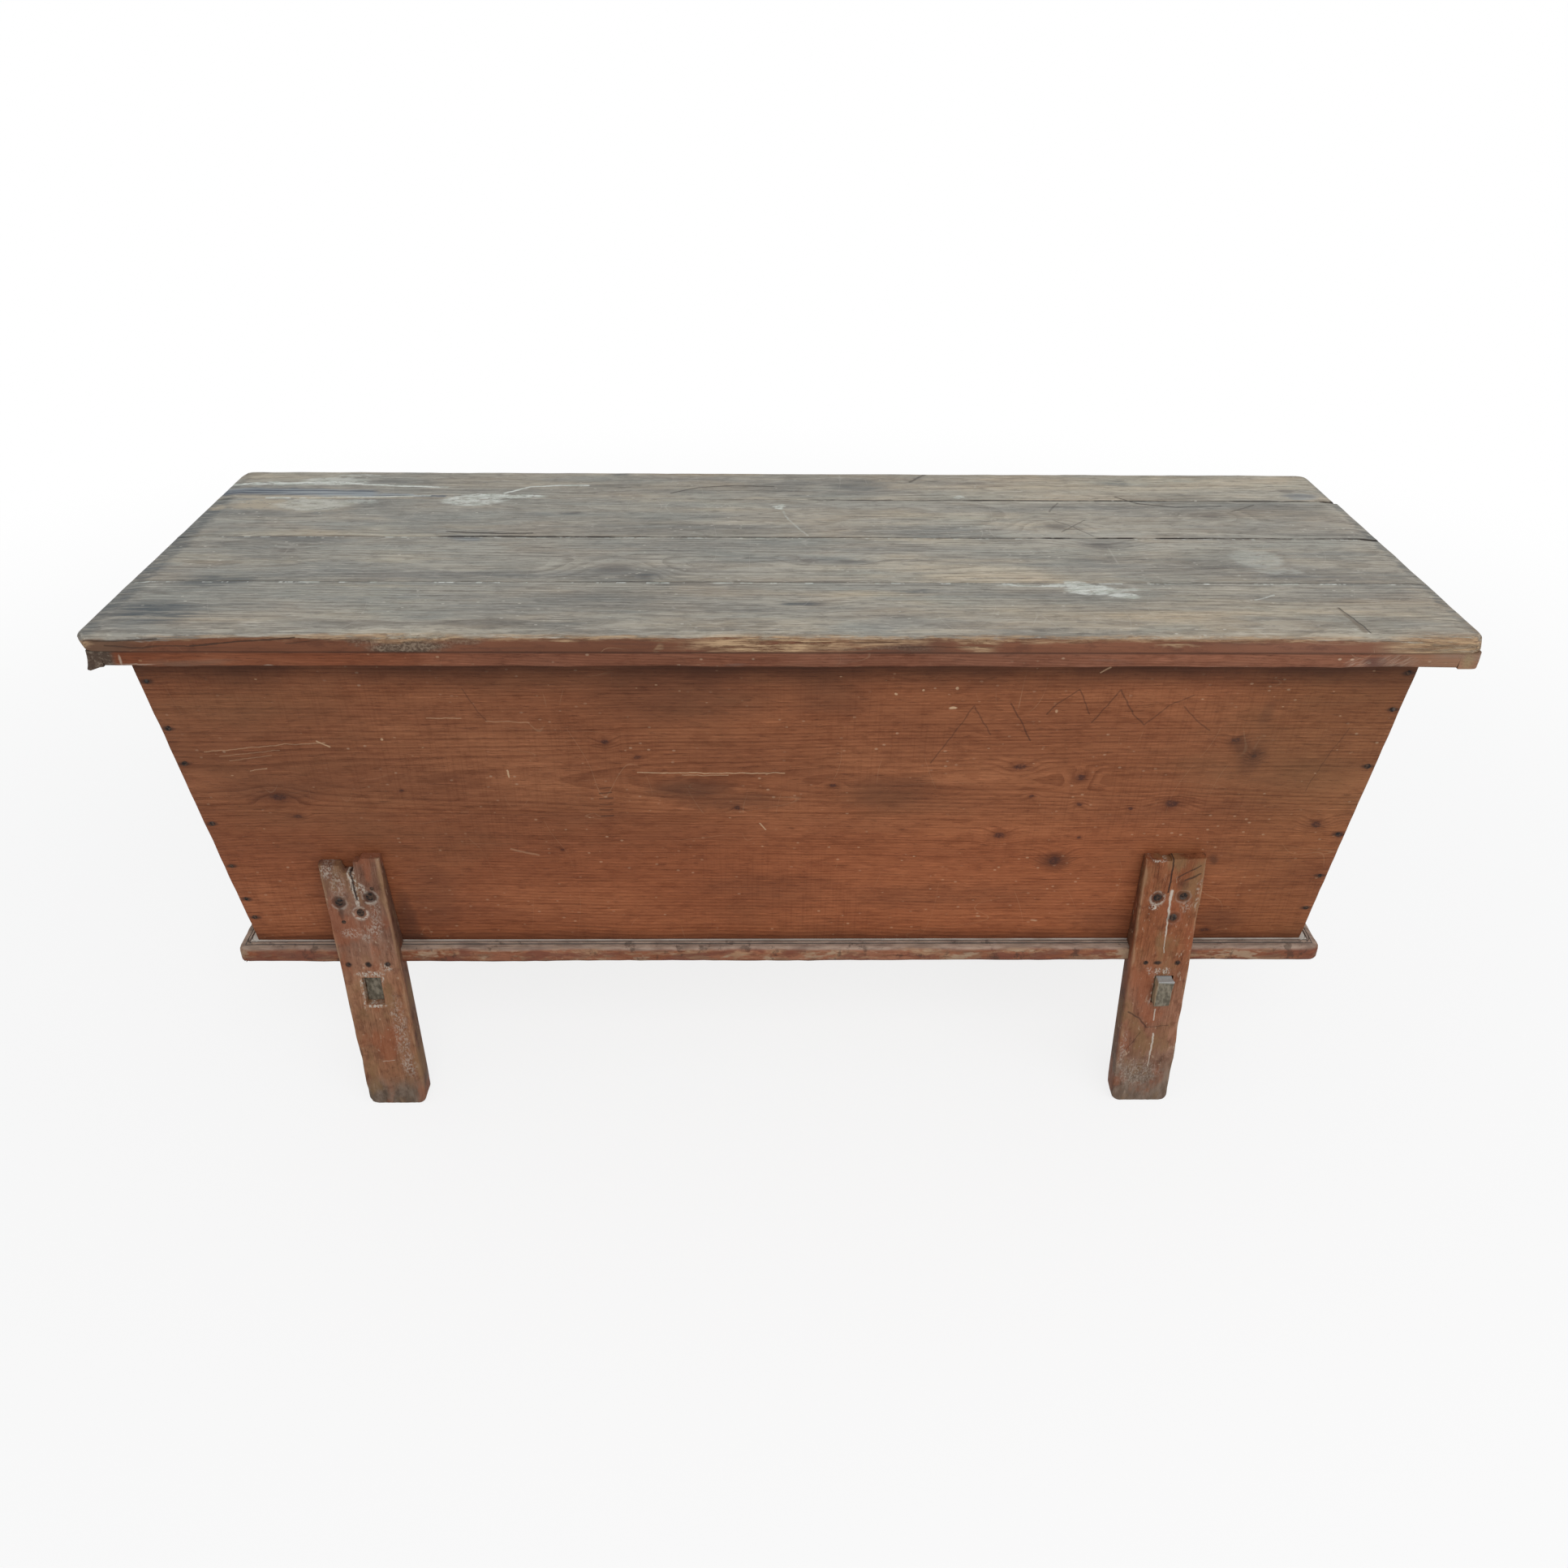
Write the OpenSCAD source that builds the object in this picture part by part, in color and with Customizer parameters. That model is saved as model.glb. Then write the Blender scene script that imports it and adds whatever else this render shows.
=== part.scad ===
/* [Trough] */
// Outside length of the trough at its rim
rim_length = 1425; // [1200:1:1700]
// Outside depth of the trough at its rim
rim_depth = 484; // [460:2:640]
// Height of the walls, from the bottom board to the rim
wall_height = 445; // [330:5:560]
// Outward lean of the front and back, in degrees
side_slope = 6; // [3:0.5:9]
// Outward lean of the left end, in degrees
left_end_slope = 5.9; // [2:0.1:8]
// Outward lean of the right end, in degrees
right_end_slope = 4.3; // [2:0.1:8]
// How far the rim's middle lies to the left of the lid's middle
rim_shift = 6.5; // [0:0.5:10]
// Thickness of the front and back boards
side_thickness = 22; // [16:1:28]
// Thickness of the end boards
end_thickness = 22; // [18:1:28]
// Height of the lower board of the front and back
lower_side_board = 207; // [170:1:230]
// Height of the lower board of the ends
lower_end_board = 232; // [190:1:260]
// Shrinkage gap between the boards of a wall
wall_gap = 0.3; // [0.1:0.1:0.8]

/* [Bottom board] */
// Thickness of the bottom board
floor_thickness = 22; // [18:1:30]
// How far the lip stands out from the front and back
lip = 18; // [15:1:26]
// How far the lip stands out from the ends
end_lip = 24; // [15:1:30]
// Radius of the rounded nose of the lip
nose_radius = 7; // [4:0.5:9]
// Depth of the small step that sets off the nose
quirk = 1.5; // [1:0.5:3]
// How far the step lies in from the lip's edge
quirk_inset = 10; // [9:0.5:13]
// Radius of the lip's corners, seen from above
lip_corner = 14; // [8:1:20]
// Place of the joint between the two bottom boards, from the middle
floor_joint = 18; // [-40:1:40]

/* [Legs] */
// Height of the bottom board's underside above the floor
leg_clearance = 228; // [190:2:320]
// Thickness of a leg
leg_thickness = 30; // [26:1:38]
// Width of a leg at its top
leg_width_top = 76; // [66:1:90]
// Width of a leg at its foot
leg_width_foot = 77; // [60:1:86]
// How far a leg stands in front of the lip
leg_proud = 14.5; // [10:0.5:18]
// Forward lean of a leg towards its foot, in degrees
leg_splay = 1.5; // [0:0.1:3]
// Sideways lean of a leg, its top towards the left, in degrees
leg_lean = 1.3; // [0:0.1:2]
// Height of a leg's top above the trough's floor
leg_rise = 144; // [125:1:160]
// Distance of the left legs' middle from the rim's left end
left_leg_inset = 195; // [150:1:270]
// Distance of the right legs' middle from the rim's right end
right_leg_inset = 220; // [150:1:270]
// Radius of the worn corners of a foot
foot_radius = 12; // [6:1:20]

/* [Cross rails] */
// Thickness of a cross rail
rail_thickness = 30; // [26:1:44]
// Height of a cross rail
rail_height = 60; // [54:1:80]
// Thickness of a tenon
tenon_thickness = 24; // [16:1:25]
// Height of a tenon
tenon_height = 44; // [30:1:48]
// Depth of a tenon's centre below the bottom board
tenon_drop = 35; // [30:1:40]
// How far the right rail's tenon stands out in front
tenon_proud = 12; // [2:1:20]
// How far the left rail's tenon sits back in its mortise
tenon_recess = 8; // [0:1:14]
// Sideways offset of the left rail from its legs' middle
left_rail_offset = -2; // [-8:1:8]
// Sideways offset of the right rail from its legs' middle
right_rail_offset = 7; // [-8:1:8]

/* [Lid] */
// Thickness of the lid boards
lid_thickness = 20; // [16:1:28]
// How far the lid reaches past the rim at the ends, as their mean
end_overhang = 41.5; // [40:0.5:90]
// How far the lid reaches past the rim at the front and back
side_overhang = 31; // [30:1:70]
// Depth of the front lid board
front_lid_board = 147; // [110:1:170]
// Depth of the second lid board
second_lid_board = 144; // [110:1:170]
// Depth of the third lid board
third_lid_board = 140; // [100:1:160]
// How much the back board falls short at its right end
back_board_short = 7; // [0:0.5:16]
// Shrinkage gap between the lid boards
lid_gap = 0.6; // [0.2:0.1:0.9]
// Radius of the lid's corners, seen from above
lid_corner = 20; // [8:1:30]
// Radius of the worn upper edge of the lid
lid_edge_radius = 5; // [2:0.5:8]

/* [Lid strips and battens] */
// Width of the strips under the lid's edge
strip_width = 25; // [16:1:26]
// Thickness of the strips
strip_thickness = 19; // [14:1:26]
// How much thicker the left end strip is
left_strip_extra = 4; // [0:0.5:8]
// How far the front and back strips lie in from the lid's edge
side_strip_inset = 2; // [1:0.5:3]
// How far the end strips lie in from the lid's edge
end_strip_inset = 1; // [0.5:0.5:10]
// Radius of the strips' corners, seen from above
strip_corner = 8; // [2:1:14]
// Width of a batten
batten_width = 60; // [40:1:90]
// Thickness of a batten
batten_thickness = 20; // [14:1:30]
// Distance of the battens' middle from the lid's ends
batten_inset = 324; // [200:2:450]
// Play between a batten's ends and the walls inside the rim
batten_play = 9; // [4:1:20]

/* [Nails] */
// Distance of the corner nails from the slanted edge
corner_nail_inset = 9; // [7:0.5:12]
// Length of a corner nail
corner_nail_length = 48; // [40:1:60]
// Diameter of a corner nail
corner_nail_diameter = 3.2; // [2:0.2:4]
// Diameter of a corner nail's head
corner_nail_head = 7; // [5:0.5:9]
// Diameter of a big leg nail
leg_nail_diameter = 5; // [4:0.2:6]
// Diameter of a big leg nail's head
leg_nail_head = 11.5; // [9:0.5:14]
// Length of a big leg nail
leg_nail_length = 38; // [30:1:40]
// Diameter of a small nail
brad_diameter = 2.4; // [1.6:0.2:3]
// Diameter of a small nail's head
brad_head = 5.5; // [4:0.5:7]
// Length of a small nail in a leg
brad_length = 34; // [28:1:38]
// Length of a nail through a strip or batten into the lid
lid_nail_length = 31; // [28:1:33]
// Length of a nail through the bottom board into a wall
floor_nail_length = 52; // [40:1:64]

/* [Hidden] */
$fn = 48;
// Clearance of a fitted joint
fit = 0.1;
// Clearance round a driven nail
nail_fit = 0.05;
// How far a nail's head stands out, and its thickness
head_proud = 0.4;
head_thickness = 1.6;
big_head_proud = 1.2;
big_head_thickness = 3;
// Heights of the corner nails as shares of the wall, as the photo shows them
left_nail_shares = [0.09, 0.16, 0.28, 0.43, 0.63, 0.74, 0.88];
right_nail_shares = [0.12, 0.24, 0.39, 0.62, 0.8, 0.91];
// Big leg nails, from the leg's middle and above the trough's floor
left_leg_nails = [[-24, 82], [15, 90], [0, 66]];
right_leg_nails = [[-20, 87], [12, 89], [4, 57]];
// Small leg nails: the row into the bottom board's edge, and two strays on the left leg
left_brad_row = [-27, -2, 22];
right_brad_row = [-20, -5, 21];
stray_brads = [[-23, 52], [19, 102]];
// Broken top of the left front leg: from its middle, and above the other legs' tops
broken_top = [[30, 3], [6, -3], [1, -18], [-8, -20], [-11, -5]];
broken_top_right = 4;
broken_top_left = -10;
// Small bevel under the lip, and the worn lower edge of the lid
lip_bevel = 2;
lid_lower_radius = 2;

under_z = leg_clearance;
floor_z = under_z + floor_thickness;
rim_z = floor_z + wall_height;
lid_top_z = rim_z + lid_thickness;
lid_length = rim_length + 2 * end_overhang;
lid_depth = rim_depth + 2 * side_overhang;
side_wall = side_thickness / cos(side_slope);
lip_left = wall_x(-1, floor_z) - end_lip;
lip_right = wall_x(1, floor_z) + end_lip;
lip_middle = (lip_left + lip_right) / 2;
lip_x = (lip_right - lip_left) / 2;
lip_y = wall_y(floor_z) + lip;
leg_top_z = floor_z + leg_rise;
tenon_z = under_z - tenon_drop;
side_joint_z = floor_z + lower_side_board;
end_joint_z = floor_z + lower_end_board;
brad_row_z = under_z + 0.36 * floor_thickness;
strip_x = lid_length / 2 - end_strip_inset;
strip_y = lid_depth / 2 - side_strip_inset;
left_leg_place = rim_length / 2 + rim_shift - left_leg_inset;
right_leg_place = rim_length / 2 - rim_shift - right_leg_inset;
batten_place = lid_length / 2 - batten_inset;
batten_y = wall_y(rim_z - batten_thickness) - side_wall - batten_play;
lid_joint_1 = -lid_depth / 2 + front_lid_board;
lid_joint_2 = lid_joint_1 + second_lid_board;
lid_joint_3 = lid_joint_2 + third_lid_board;

pine_red = "#8c4c2b";
pine_leg = "#85563c";
pine_grey = "#80735f";
pine_inside = "#b08a5c";
iron = "#3b3632";

// Lean of an end and its thickness along the length. side is -1 for the left end, 1 for the right.
function end_slope(side) = side < 0 ? left_end_slope : right_end_slope;
function end_wall(side) = end_thickness / cos(end_slope(side));
// Outside of an end and outside half depth of the walls at a height
function wall_x(side, z) = side * (rim_length / 2 - (rim_z - z) * tan(end_slope(side))) - rim_shift;
function wall_y(z) = rim_depth / 2 - (rim_z - z) * tan(side_slope);
// Half depth of a leg's outer and inner faces at a height
function leg_face(z) = lip_y + leg_proud + (floor_z - z) * tan(leg_splay);
function leg_back(z) = leg_face(z) - leg_thickness / cos(leg_splay);
// A quarter circle as points, from its centre and first direction
function quarter(cx, cy, r, start, steps = 6) =
    [for (i = [0 : steps]) [cx + r * cos(start + 90 * i / steps), cy + r * sin(start + 90 * i / steps)]];
// The same points on the other side of the middle, in reverse order
function flipped(points) = [for (i = [len(points) - 1 : -1 : 0]) [-points[i][0], points[i][1]]];

// An outline in Y and Z drawn out along X, and one in X and Z drawn out along Y
module along_x(length) rotate([90, 0, 90]) linear_extrude(height = length, center = true) children();
module along_y(length) rotate([90, 0, 0]) linear_extrude(height = length, center = true) children();
module both_sides(half) polygon(concat(half, flipped(half)));
module rounded(hx, hy, r) both_sides(concat(quarter(hx - r, -hy + r, r, -90), quarter(hx - r, hy - r, r, 0)));
// Everything between two heights, or between two depths
module level(z0, z1)
    translate([-lid_length, -lid_depth, z0]) cube([2 * lid_length, 2 * lid_depth, z1 - z0]);
module depth(y0, y1)
    translate([-lid_length, y0, 0]) cube([2 * lid_length, y1 - y0, 2 * lid_top_z]);

// A nail whose head faces +Z at the origin. The same shape with a clearance cuts its hole.
module nail(diameter, length, head, proud, thick, clear = 0) {
    top = clear > 0 ? proud + 4 : proud;
    translate([0, 0, -length - clear])
        cylinder(d = diameter + 2 * clear, h = length + clear + proud - thick / 2);
    translate([0, 0, proud - thick - clear])
        cylinder(d = head + 2 * clear, h = top - proud + thick + clear);
}
module small_nail(length, clear = 0)
    nail(brad_diameter, length, brad_head, head_proud, head_thickness, clear);

// Nails up the slanted corners of the front. They go through the front into the edges of the ends.
module front_corner_nail_set(clear = 0) {
    for (side = [-1, 1], share = side < 0 ? left_nail_shares : right_nail_shares) {
        z = floor_z + share * wall_height;
        translate([wall_x(side, z) - side * corner_nail_inset, -wall_y(z), z])
            rotate([90 + side_slope, 0, 0])
                nail(corner_nail_diameter, corner_nail_length, corner_nail_head,
                     head_proud, head_thickness, clear);
    }
}
// The back has the same rows
module back_corner_nail_set(clear = 0) mirror([0, 1, 0]) front_corner_nail_set(clear);

// Big nails of the two front legs, driven level through leg and wall
module front_leg_nail_set(clear = 0) {
    for (p = left_leg_nails) leg_nail(-left_leg_place + p[0], floor_z + p[1], clear);
    for (p = right_leg_nails) leg_nail(right_leg_place + p[0], floor_z + p[1], clear);
}
module leg_nail(x, z, clear)
    translate([x, -leg_face(z), z]) rotate([90, 0, 0])
        nail(leg_nail_diameter, leg_nail_length, leg_nail_head, big_head_proud, big_head_thickness, clear);
module back_leg_nail_set(clear = 0) mirror([0, 1, 0]) front_leg_nail_set(clear);

// Small nails of the legs: a row into the bottom board's edge on each leg, and two strays
module leg_brad_set(clear = 0) {
    for (y = [0, 1]) mirror([0, y, 0]) {
        for (x = left_brad_row) leg_brad(-left_leg_place + x, brad_row_z, clear);
        for (x = right_brad_row) leg_brad(right_leg_place + x, brad_row_z, clear);
    }
    for (p = stray_brads) leg_brad(-left_leg_place + p[0], floor_z + p[1], clear);
}
module leg_brad(x, z, clear)
    translate([x, -leg_face(z), z]) rotate([90, 0, 0]) small_nail(brad_length, clear);

// Nails up through the bottom board into the lower edges of the walls
module bottom_nail_set(clear = 0) {
    wall_mid_y = wall_y(floor_z) - side_wall / 2;
    left = wall_x(-1, floor_z) + end_wall(-1) / 2;
    right = wall_x(1, floor_z) - end_wall(1) / 2;
    places = concat(
        [for (share = [0.05, 0.275, 0.5, 0.725, 0.95], y = [-1, 1])
            [left + share * (right - left), y * wall_mid_y]],
        [for (x = [left, right], y = [-0.45, 0.45]) [x, y * wall_mid_y]]);
    for (p = places) translate([p[0], p[1], under_z]) mirror([0, 0, 1])
        nail(corner_nail_diameter, floor_nail_length, corner_nail_head, 0, head_thickness, clear);
}

// Nails up through the strips into the lid boards
module strip_nail_set(clear = 0) {
    mid_y = strip_y - strip_width / 2;
    mid_x = strip_x - strip_width / 2;
    for (x = [-0.84, -0.42, 0, 0.42, 0.84], y = [-1, 1])
        lid_nail(x * mid_x, y * mid_y, strip_thickness, clear);
    for (y = [(-lid_depth / 2 + lid_joint_1) / 2, (lid_joint_1 + lid_joint_2) / 2,
              (lid_joint_2 + lid_joint_3) / 2, (lid_joint_3 + lid_depth / 2) / 2]) {
        lid_nail(-mid_x, y, strip_thickness + left_strip_extra, clear);
        lid_nail(mid_x, y, strip_thickness, clear);
    }
}
module lid_nail(x, y, thick, clear)
    translate([x, y, rim_z - thick]) mirror([0, 0, 1]) small_nail(lid_nail_length, clear);

// Two nails a board up through each batten
module batten_nail_set(clear = 0) {
    for (side = [-1, 1], across = [-0.25, 0.25], y = [
            (lid_joint_1 - batten_y) / 2, (lid_joint_1 + lid_joint_2) / 2,
            (lid_joint_2 + lid_joint_3) / 2, (lid_joint_3 + batten_y) / 2])
        lid_nail(side * batten_place + across * batten_width, y, batten_thickness, clear);
}

// One sloping front wall: leaning boards with slanted ends that cover the edges of the trough's ends
module front_wall(z0, z1) {
    difference() {
        intersection() {
            along_x(2 * lid_length) polygon([
                [-wall_y(floor_z), floor_z], [-wall_y(rim_z), rim_z],
                [-wall_y(rim_z) + side_wall, rim_z], [-wall_y(floor_z) + side_wall, floor_z]]);
            along_y(2 * lid_depth) polygon([
                [wall_x(-1, floor_z), floor_z], [wall_x(1, floor_z), floor_z],
                [wall_x(1, rim_z), rim_z], [wall_x(-1, rim_z), rim_z]]);
            level(z0, z1);
        }
        front_corner_nail_set(nail_fit);
        front_leg_nail_set(nail_fit);
        leg_brad_set(nail_fit);
        bottom_nail_set(nail_fit);
    }
}
module back_wall(z0, z1) {
    difference() {
        intersection() {
            along_x(2 * lid_length) polygon([
                [wall_y(floor_z), floor_z], [wall_y(rim_z), rim_z],
                [wall_y(rim_z) - side_wall, rim_z], [wall_y(floor_z) - side_wall, floor_z]]);
            along_y(2 * lid_depth) polygon([
                [wall_x(-1, floor_z), floor_z], [wall_x(1, floor_z), floor_z],
                [wall_x(1, rim_z), rim_z], [wall_x(-1, rim_z), rim_z]]);
            level(z0, z1);
        }
        back_corner_nail_set(nail_fit);
        back_leg_nail_set(nail_fit);
        bottom_nail_set(nail_fit);
    }
}
// One sloping end wall, fitted between the front and the back. side is -1 for left, 1 for right.
module end_wall_boards(side, z0, z1) {
    inside_low = wall_y(floor_z) - side_wall - fit;
    inside_high = wall_y(rim_z) - side_wall - fit;
    difference() {
        intersection() {
            along_y(2 * lid_depth) polygon([
                [wall_x(side, floor_z), floor_z], [wall_x(side, rim_z), rim_z],
                [wall_x(side, rim_z) - side * end_wall(side), rim_z],
                [wall_x(side, floor_z) - side * end_wall(side), floor_z]]);
            along_x(2 * lid_length) polygon([
                [-inside_low, floor_z], [inside_low, floor_z], [inside_high, rim_z], [-inside_high, rim_z]]);
            level(z0, z1);
        }
        front_corner_nail_set(nail_fit);
        back_corner_nail_set(nail_fit);
        bottom_nail_set(nail_fit);
    }
}

// Half of the moulded section of the bottom board, for a half width
function lip_section(half) = concat(
    [[half - lip_bevel, under_z], [half, under_z + lip_bevel]],
    quarter(half - nose_radius, floor_z - quirk - nose_radius, nose_radius, 0),
    [[half - quirk_inset, floor_z - quirk], [half - quirk_inset, floor_z]]);
module bottom_board(y0, y1) {
    difference() {
        translate([lip_middle, 0, 0]) intersection() {
            along_x(2 * lip_x) both_sides(lip_section(lip_y));
            along_y(2 * lip_y) both_sides(lip_section(lip_x));
            translate([0, 0, under_z]) linear_extrude(height = floor_thickness) rounded(lip_x, lip_y, lip_corner);
            depth(y0, y1);
        }
        leg_brad_set(nail_fit);
        bottom_nail_set(nail_fit);
    }
}

// Side view of a leg: its foot, its outer face, the slant that lies on the wall, and the notch for the lip
module leg_side(top) {
    polygon([
        [leg_face(0), 0], [leg_face(top), top], [wall_y(top) + fit, top],
        [wall_y(floor_z) + fit, floor_z + fit], [lip_y + fit, floor_z + fit],
        [lip_y + fit, under_z], [leg_back(under_z), under_z], [leg_back(0), 0]]);
}
// Front view of a leg: worn foot corners, a slight lean, and its top, whole or broken
module leg_front(broken) {
    hf = leg_width_foot / 2;
    ht = leg_width_top / 2;
    right = broken ? broken_top_right : 0;
    left = broken ? broken_top_left : 0;
    middle = broken ? [for (p = broken_top) [p[0], leg_top_z + p[1]]] : [];
    upright = concat(
        quarter(hf - foot_radius, foot_radius, foot_radius, -90),
        [[ht, leg_top_z + right]], middle, [[-ht, leg_top_z + left]],
        quarter(-hf + foot_radius, foot_radius, foot_radius, 180));
    polygon([for (p = upright) [p[0] + (tenon_z - p[1]) * tan(leg_lean), p[1]]]);
}
// A whole leg of the front row, at a place along the length
module leg(place, rail_offset, broken = false) {
    tallest = leg_top_z + max(broken_top_right, 0);
    difference() {
        intersection() {
            mirror([0, 1, 0]) along_x(2 * lid_length) leg_side(tallest);
            translate([place, 0, 0]) along_y(2 * lid_depth) leg_front(broken);
        }
        translate([place + rail_offset, -leg_face(tenon_z), tenon_z])
            cube([tenon_thickness + 2 * fit, 4 * leg_thickness, tenon_height + 2 * fit], center = true);
    }
}
// A cross rail with a through tenon at each end. front_proud is how far the front tenon passes the leg.
module cross_rail(place, front_proud) {
    low = under_z - rail_height;
    translate([place, 0, 0]) {
        along_x(rail_thickness) polygon([
            [-leg_back(low) + fit, low], [leg_back(low) - fit, low],
            [leg_back(under_z) - fit, under_z], [-leg_back(under_z) + fit, under_z]]);
        translate([-tenon_thickness / 2, -leg_face(tenon_z) - front_proud, tenon_z - tenon_height / 2])
            cube([tenon_thickness, 2 * leg_face(tenon_z) + front_proud, tenon_height]);
    }
}

// The lid slab with its worn edges and corners, and one board of it between two depths
module slab() {
    intersection() {
        along_x(lid_length) both_sides(slab_section(lid_depth / 2));
        along_y(lid_depth) both_sides(slab_section(lid_length / 2));
        translate([0, 0, rim_z]) linear_extrude(height = lid_thickness)
            rounded(lid_length / 2, lid_depth / 2, lid_corner);
    }
}
module lid_board(y0, y1, right_short = 0) {
    difference() {
        intersection() {
            slab();
            translate([-right_short, 0, 0]) slab();
            depth(y0, y1);
        }
        strip_nail_set(nail_fit);
        batten_nail_set(nail_fit);
    }
}
function slab_section(half) = concat(
    quarter(half - lid_lower_radius, rim_z + lid_lower_radius, lid_lower_radius, -90),
    quarter(half - lid_edge_radius, lid_top_z - lid_edge_radius, lid_edge_radius, 0));

// Strips under the lid: a long one at the front or back, between the two end strips
module side_strip(side) {
    half = strip_x - strip_width - fit;
    difference() {
        translate([-half, side > 0 ? strip_y - strip_width : -strip_y, rim_z - strip_thickness])
            cube([2 * half, strip_width, strip_thickness]);
        strip_nail_set(nail_fit);
    }
}
module end_strip(side, thick) {
    difference() {
        intersection() {
            translate([0, 0, rim_z - thick]) linear_extrude(height = thick) rounded(strip_x, strip_y, strip_corner);
            translate([side > 0 ? strip_x - strip_width : -strip_x, -lid_depth, 0])
                cube([strip_width, 2 * lid_depth, rim_z]);
        }
        strip_nail_set(nail_fit);
    }
}
module batten(side) {
    difference() {
        translate([side * batten_place - batten_width / 2, -batten_y, rim_z - batten_thickness])
            cube([batten_width, 2 * batten_y, batten_thickness]);
        batten_nail_set(nail_fit);
    }
}

module lid_board_front() color(pine_grey) lid_board(-lid_depth, lid_joint_1 - lid_gap / 2);
module lid_board_second() color(pine_grey) lid_board(lid_joint_1 + lid_gap / 2, lid_joint_2 - lid_gap / 2);
module lid_board_third() color(pine_grey) lid_board(lid_joint_2 + lid_gap / 2, lid_joint_3 - lid_gap / 2);
module lid_board_back() color(pine_grey) lid_board(lid_joint_3 + lid_gap / 2, lid_depth, back_board_short);
module lid_strip_front() color(pine_red) side_strip(-1);
module lid_strip_back() color(pine_red) side_strip(1);
module lid_strip_left() color(pine_red) end_strip(-1, strip_thickness + left_strip_extra);
module lid_strip_right() color(pine_red) end_strip(1, strip_thickness);
module lid_batten_left() color(pine_inside) batten(-1);
module lid_batten_right() color(pine_inside) batten(1);
module lid_strip_nails() color(iron) strip_nail_set();
module lid_batten_nails() color(iron) batten_nail_set();

module front_upper_board() color(pine_red) front_wall(side_joint_z + wall_gap / 2, rim_z);
module front_lower_board() color(pine_red) front_wall(floor_z, side_joint_z - wall_gap / 2);
module back_upper_board() color(pine_red) back_wall(side_joint_z + wall_gap / 2, rim_z);
module back_lower_board() color(pine_red) back_wall(floor_z, side_joint_z - wall_gap / 2);
module left_end_upper_board() color(pine_red) end_wall_boards(-1, end_joint_z + wall_gap / 2, rim_z);
module left_end_lower_board() color(pine_red) end_wall_boards(-1, floor_z, end_joint_z - wall_gap / 2);
module right_end_upper_board() color(pine_red) end_wall_boards(1, end_joint_z + wall_gap / 2, rim_z);
module right_end_lower_board() color(pine_red) end_wall_boards(1, floor_z, end_joint_z - wall_gap / 2);
module bottom_board_front() color(pine_red) bottom_board(-lid_depth, floor_joint - wall_gap / 2);
module bottom_board_back() color(pine_red) bottom_board(floor_joint + wall_gap / 2, lid_depth);

module front_left_leg() color(pine_leg) difference() {
    leg(-left_leg_place, left_rail_offset, true);
    front_leg_nail_set(nail_fit);
    leg_brad_set(nail_fit);
}
module front_right_leg() color(pine_leg) difference() {
    leg(right_leg_place, right_rail_offset);
    front_leg_nail_set(nail_fit);
    leg_brad_set(nail_fit);
}
module back_left_leg() color(pine_leg) difference() {
    mirror([0, 1, 0]) leg(-left_leg_place, left_rail_offset);
    back_leg_nail_set(nail_fit);
    leg_brad_set(nail_fit);
}
module back_right_leg() color(pine_leg) difference() {
    mirror([0, 1, 0]) leg(right_leg_place, right_rail_offset);
    back_leg_nail_set(nail_fit);
    leg_brad_set(nail_fit);
}
module left_cross_rail() color(pine_leg) cross_rail(-left_leg_place + left_rail_offset, -tenon_recess);
module right_cross_rail() color(pine_leg) cross_rail(right_leg_place + right_rail_offset, tenon_proud);

module front_corner_nails() color(iron) front_corner_nail_set();
module back_corner_nails() color(iron) back_corner_nail_set();
module front_leg_nails() color(iron) front_leg_nail_set();
module back_leg_nails() color(iron) back_leg_nail_set();
module leg_brads() color(iron) leg_brad_set();
module bottom_nails() color(iron) bottom_nail_set();

lid_board_front();
lid_board_second();
lid_board_third();
lid_board_back();
lid_strip_front();
lid_strip_back();
lid_strip_left();
lid_strip_right();
lid_batten_left();
lid_batten_right();
lid_strip_nails();
lid_batten_nails();
front_upper_board();
front_lower_board();
back_upper_board();
back_lower_board();
left_end_upper_board();
left_end_lower_board();
right_end_upper_board();
right_end_lower_board();
bottom_board_front();
bottom_board_back();
front_left_leg();
front_right_leg();
back_left_leg();
back_right_leg();
left_cross_rail();
right_cross_rail();
front_corner_nails();
back_corner_nails();
front_leg_nails();
back_leg_nails();
leg_brads();
bottom_nails();
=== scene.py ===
import math
from functools import partial

import bmesh
import bpy
from mathutils import Matrix, Vector


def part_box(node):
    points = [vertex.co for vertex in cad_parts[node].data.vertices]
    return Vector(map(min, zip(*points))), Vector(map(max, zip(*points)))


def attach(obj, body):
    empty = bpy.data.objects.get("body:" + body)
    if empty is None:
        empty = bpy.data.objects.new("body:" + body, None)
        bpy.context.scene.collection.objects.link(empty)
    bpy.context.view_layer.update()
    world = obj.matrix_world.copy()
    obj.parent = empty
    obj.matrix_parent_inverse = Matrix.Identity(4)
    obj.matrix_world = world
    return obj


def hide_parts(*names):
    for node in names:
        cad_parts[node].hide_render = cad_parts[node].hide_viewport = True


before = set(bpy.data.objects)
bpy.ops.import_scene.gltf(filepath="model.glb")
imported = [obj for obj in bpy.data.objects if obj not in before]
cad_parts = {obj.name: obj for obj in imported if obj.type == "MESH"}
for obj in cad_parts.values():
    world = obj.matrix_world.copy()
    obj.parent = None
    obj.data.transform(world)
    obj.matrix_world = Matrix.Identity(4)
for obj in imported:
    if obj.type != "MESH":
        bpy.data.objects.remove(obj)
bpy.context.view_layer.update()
node_box = {name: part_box(name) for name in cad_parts}


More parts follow.
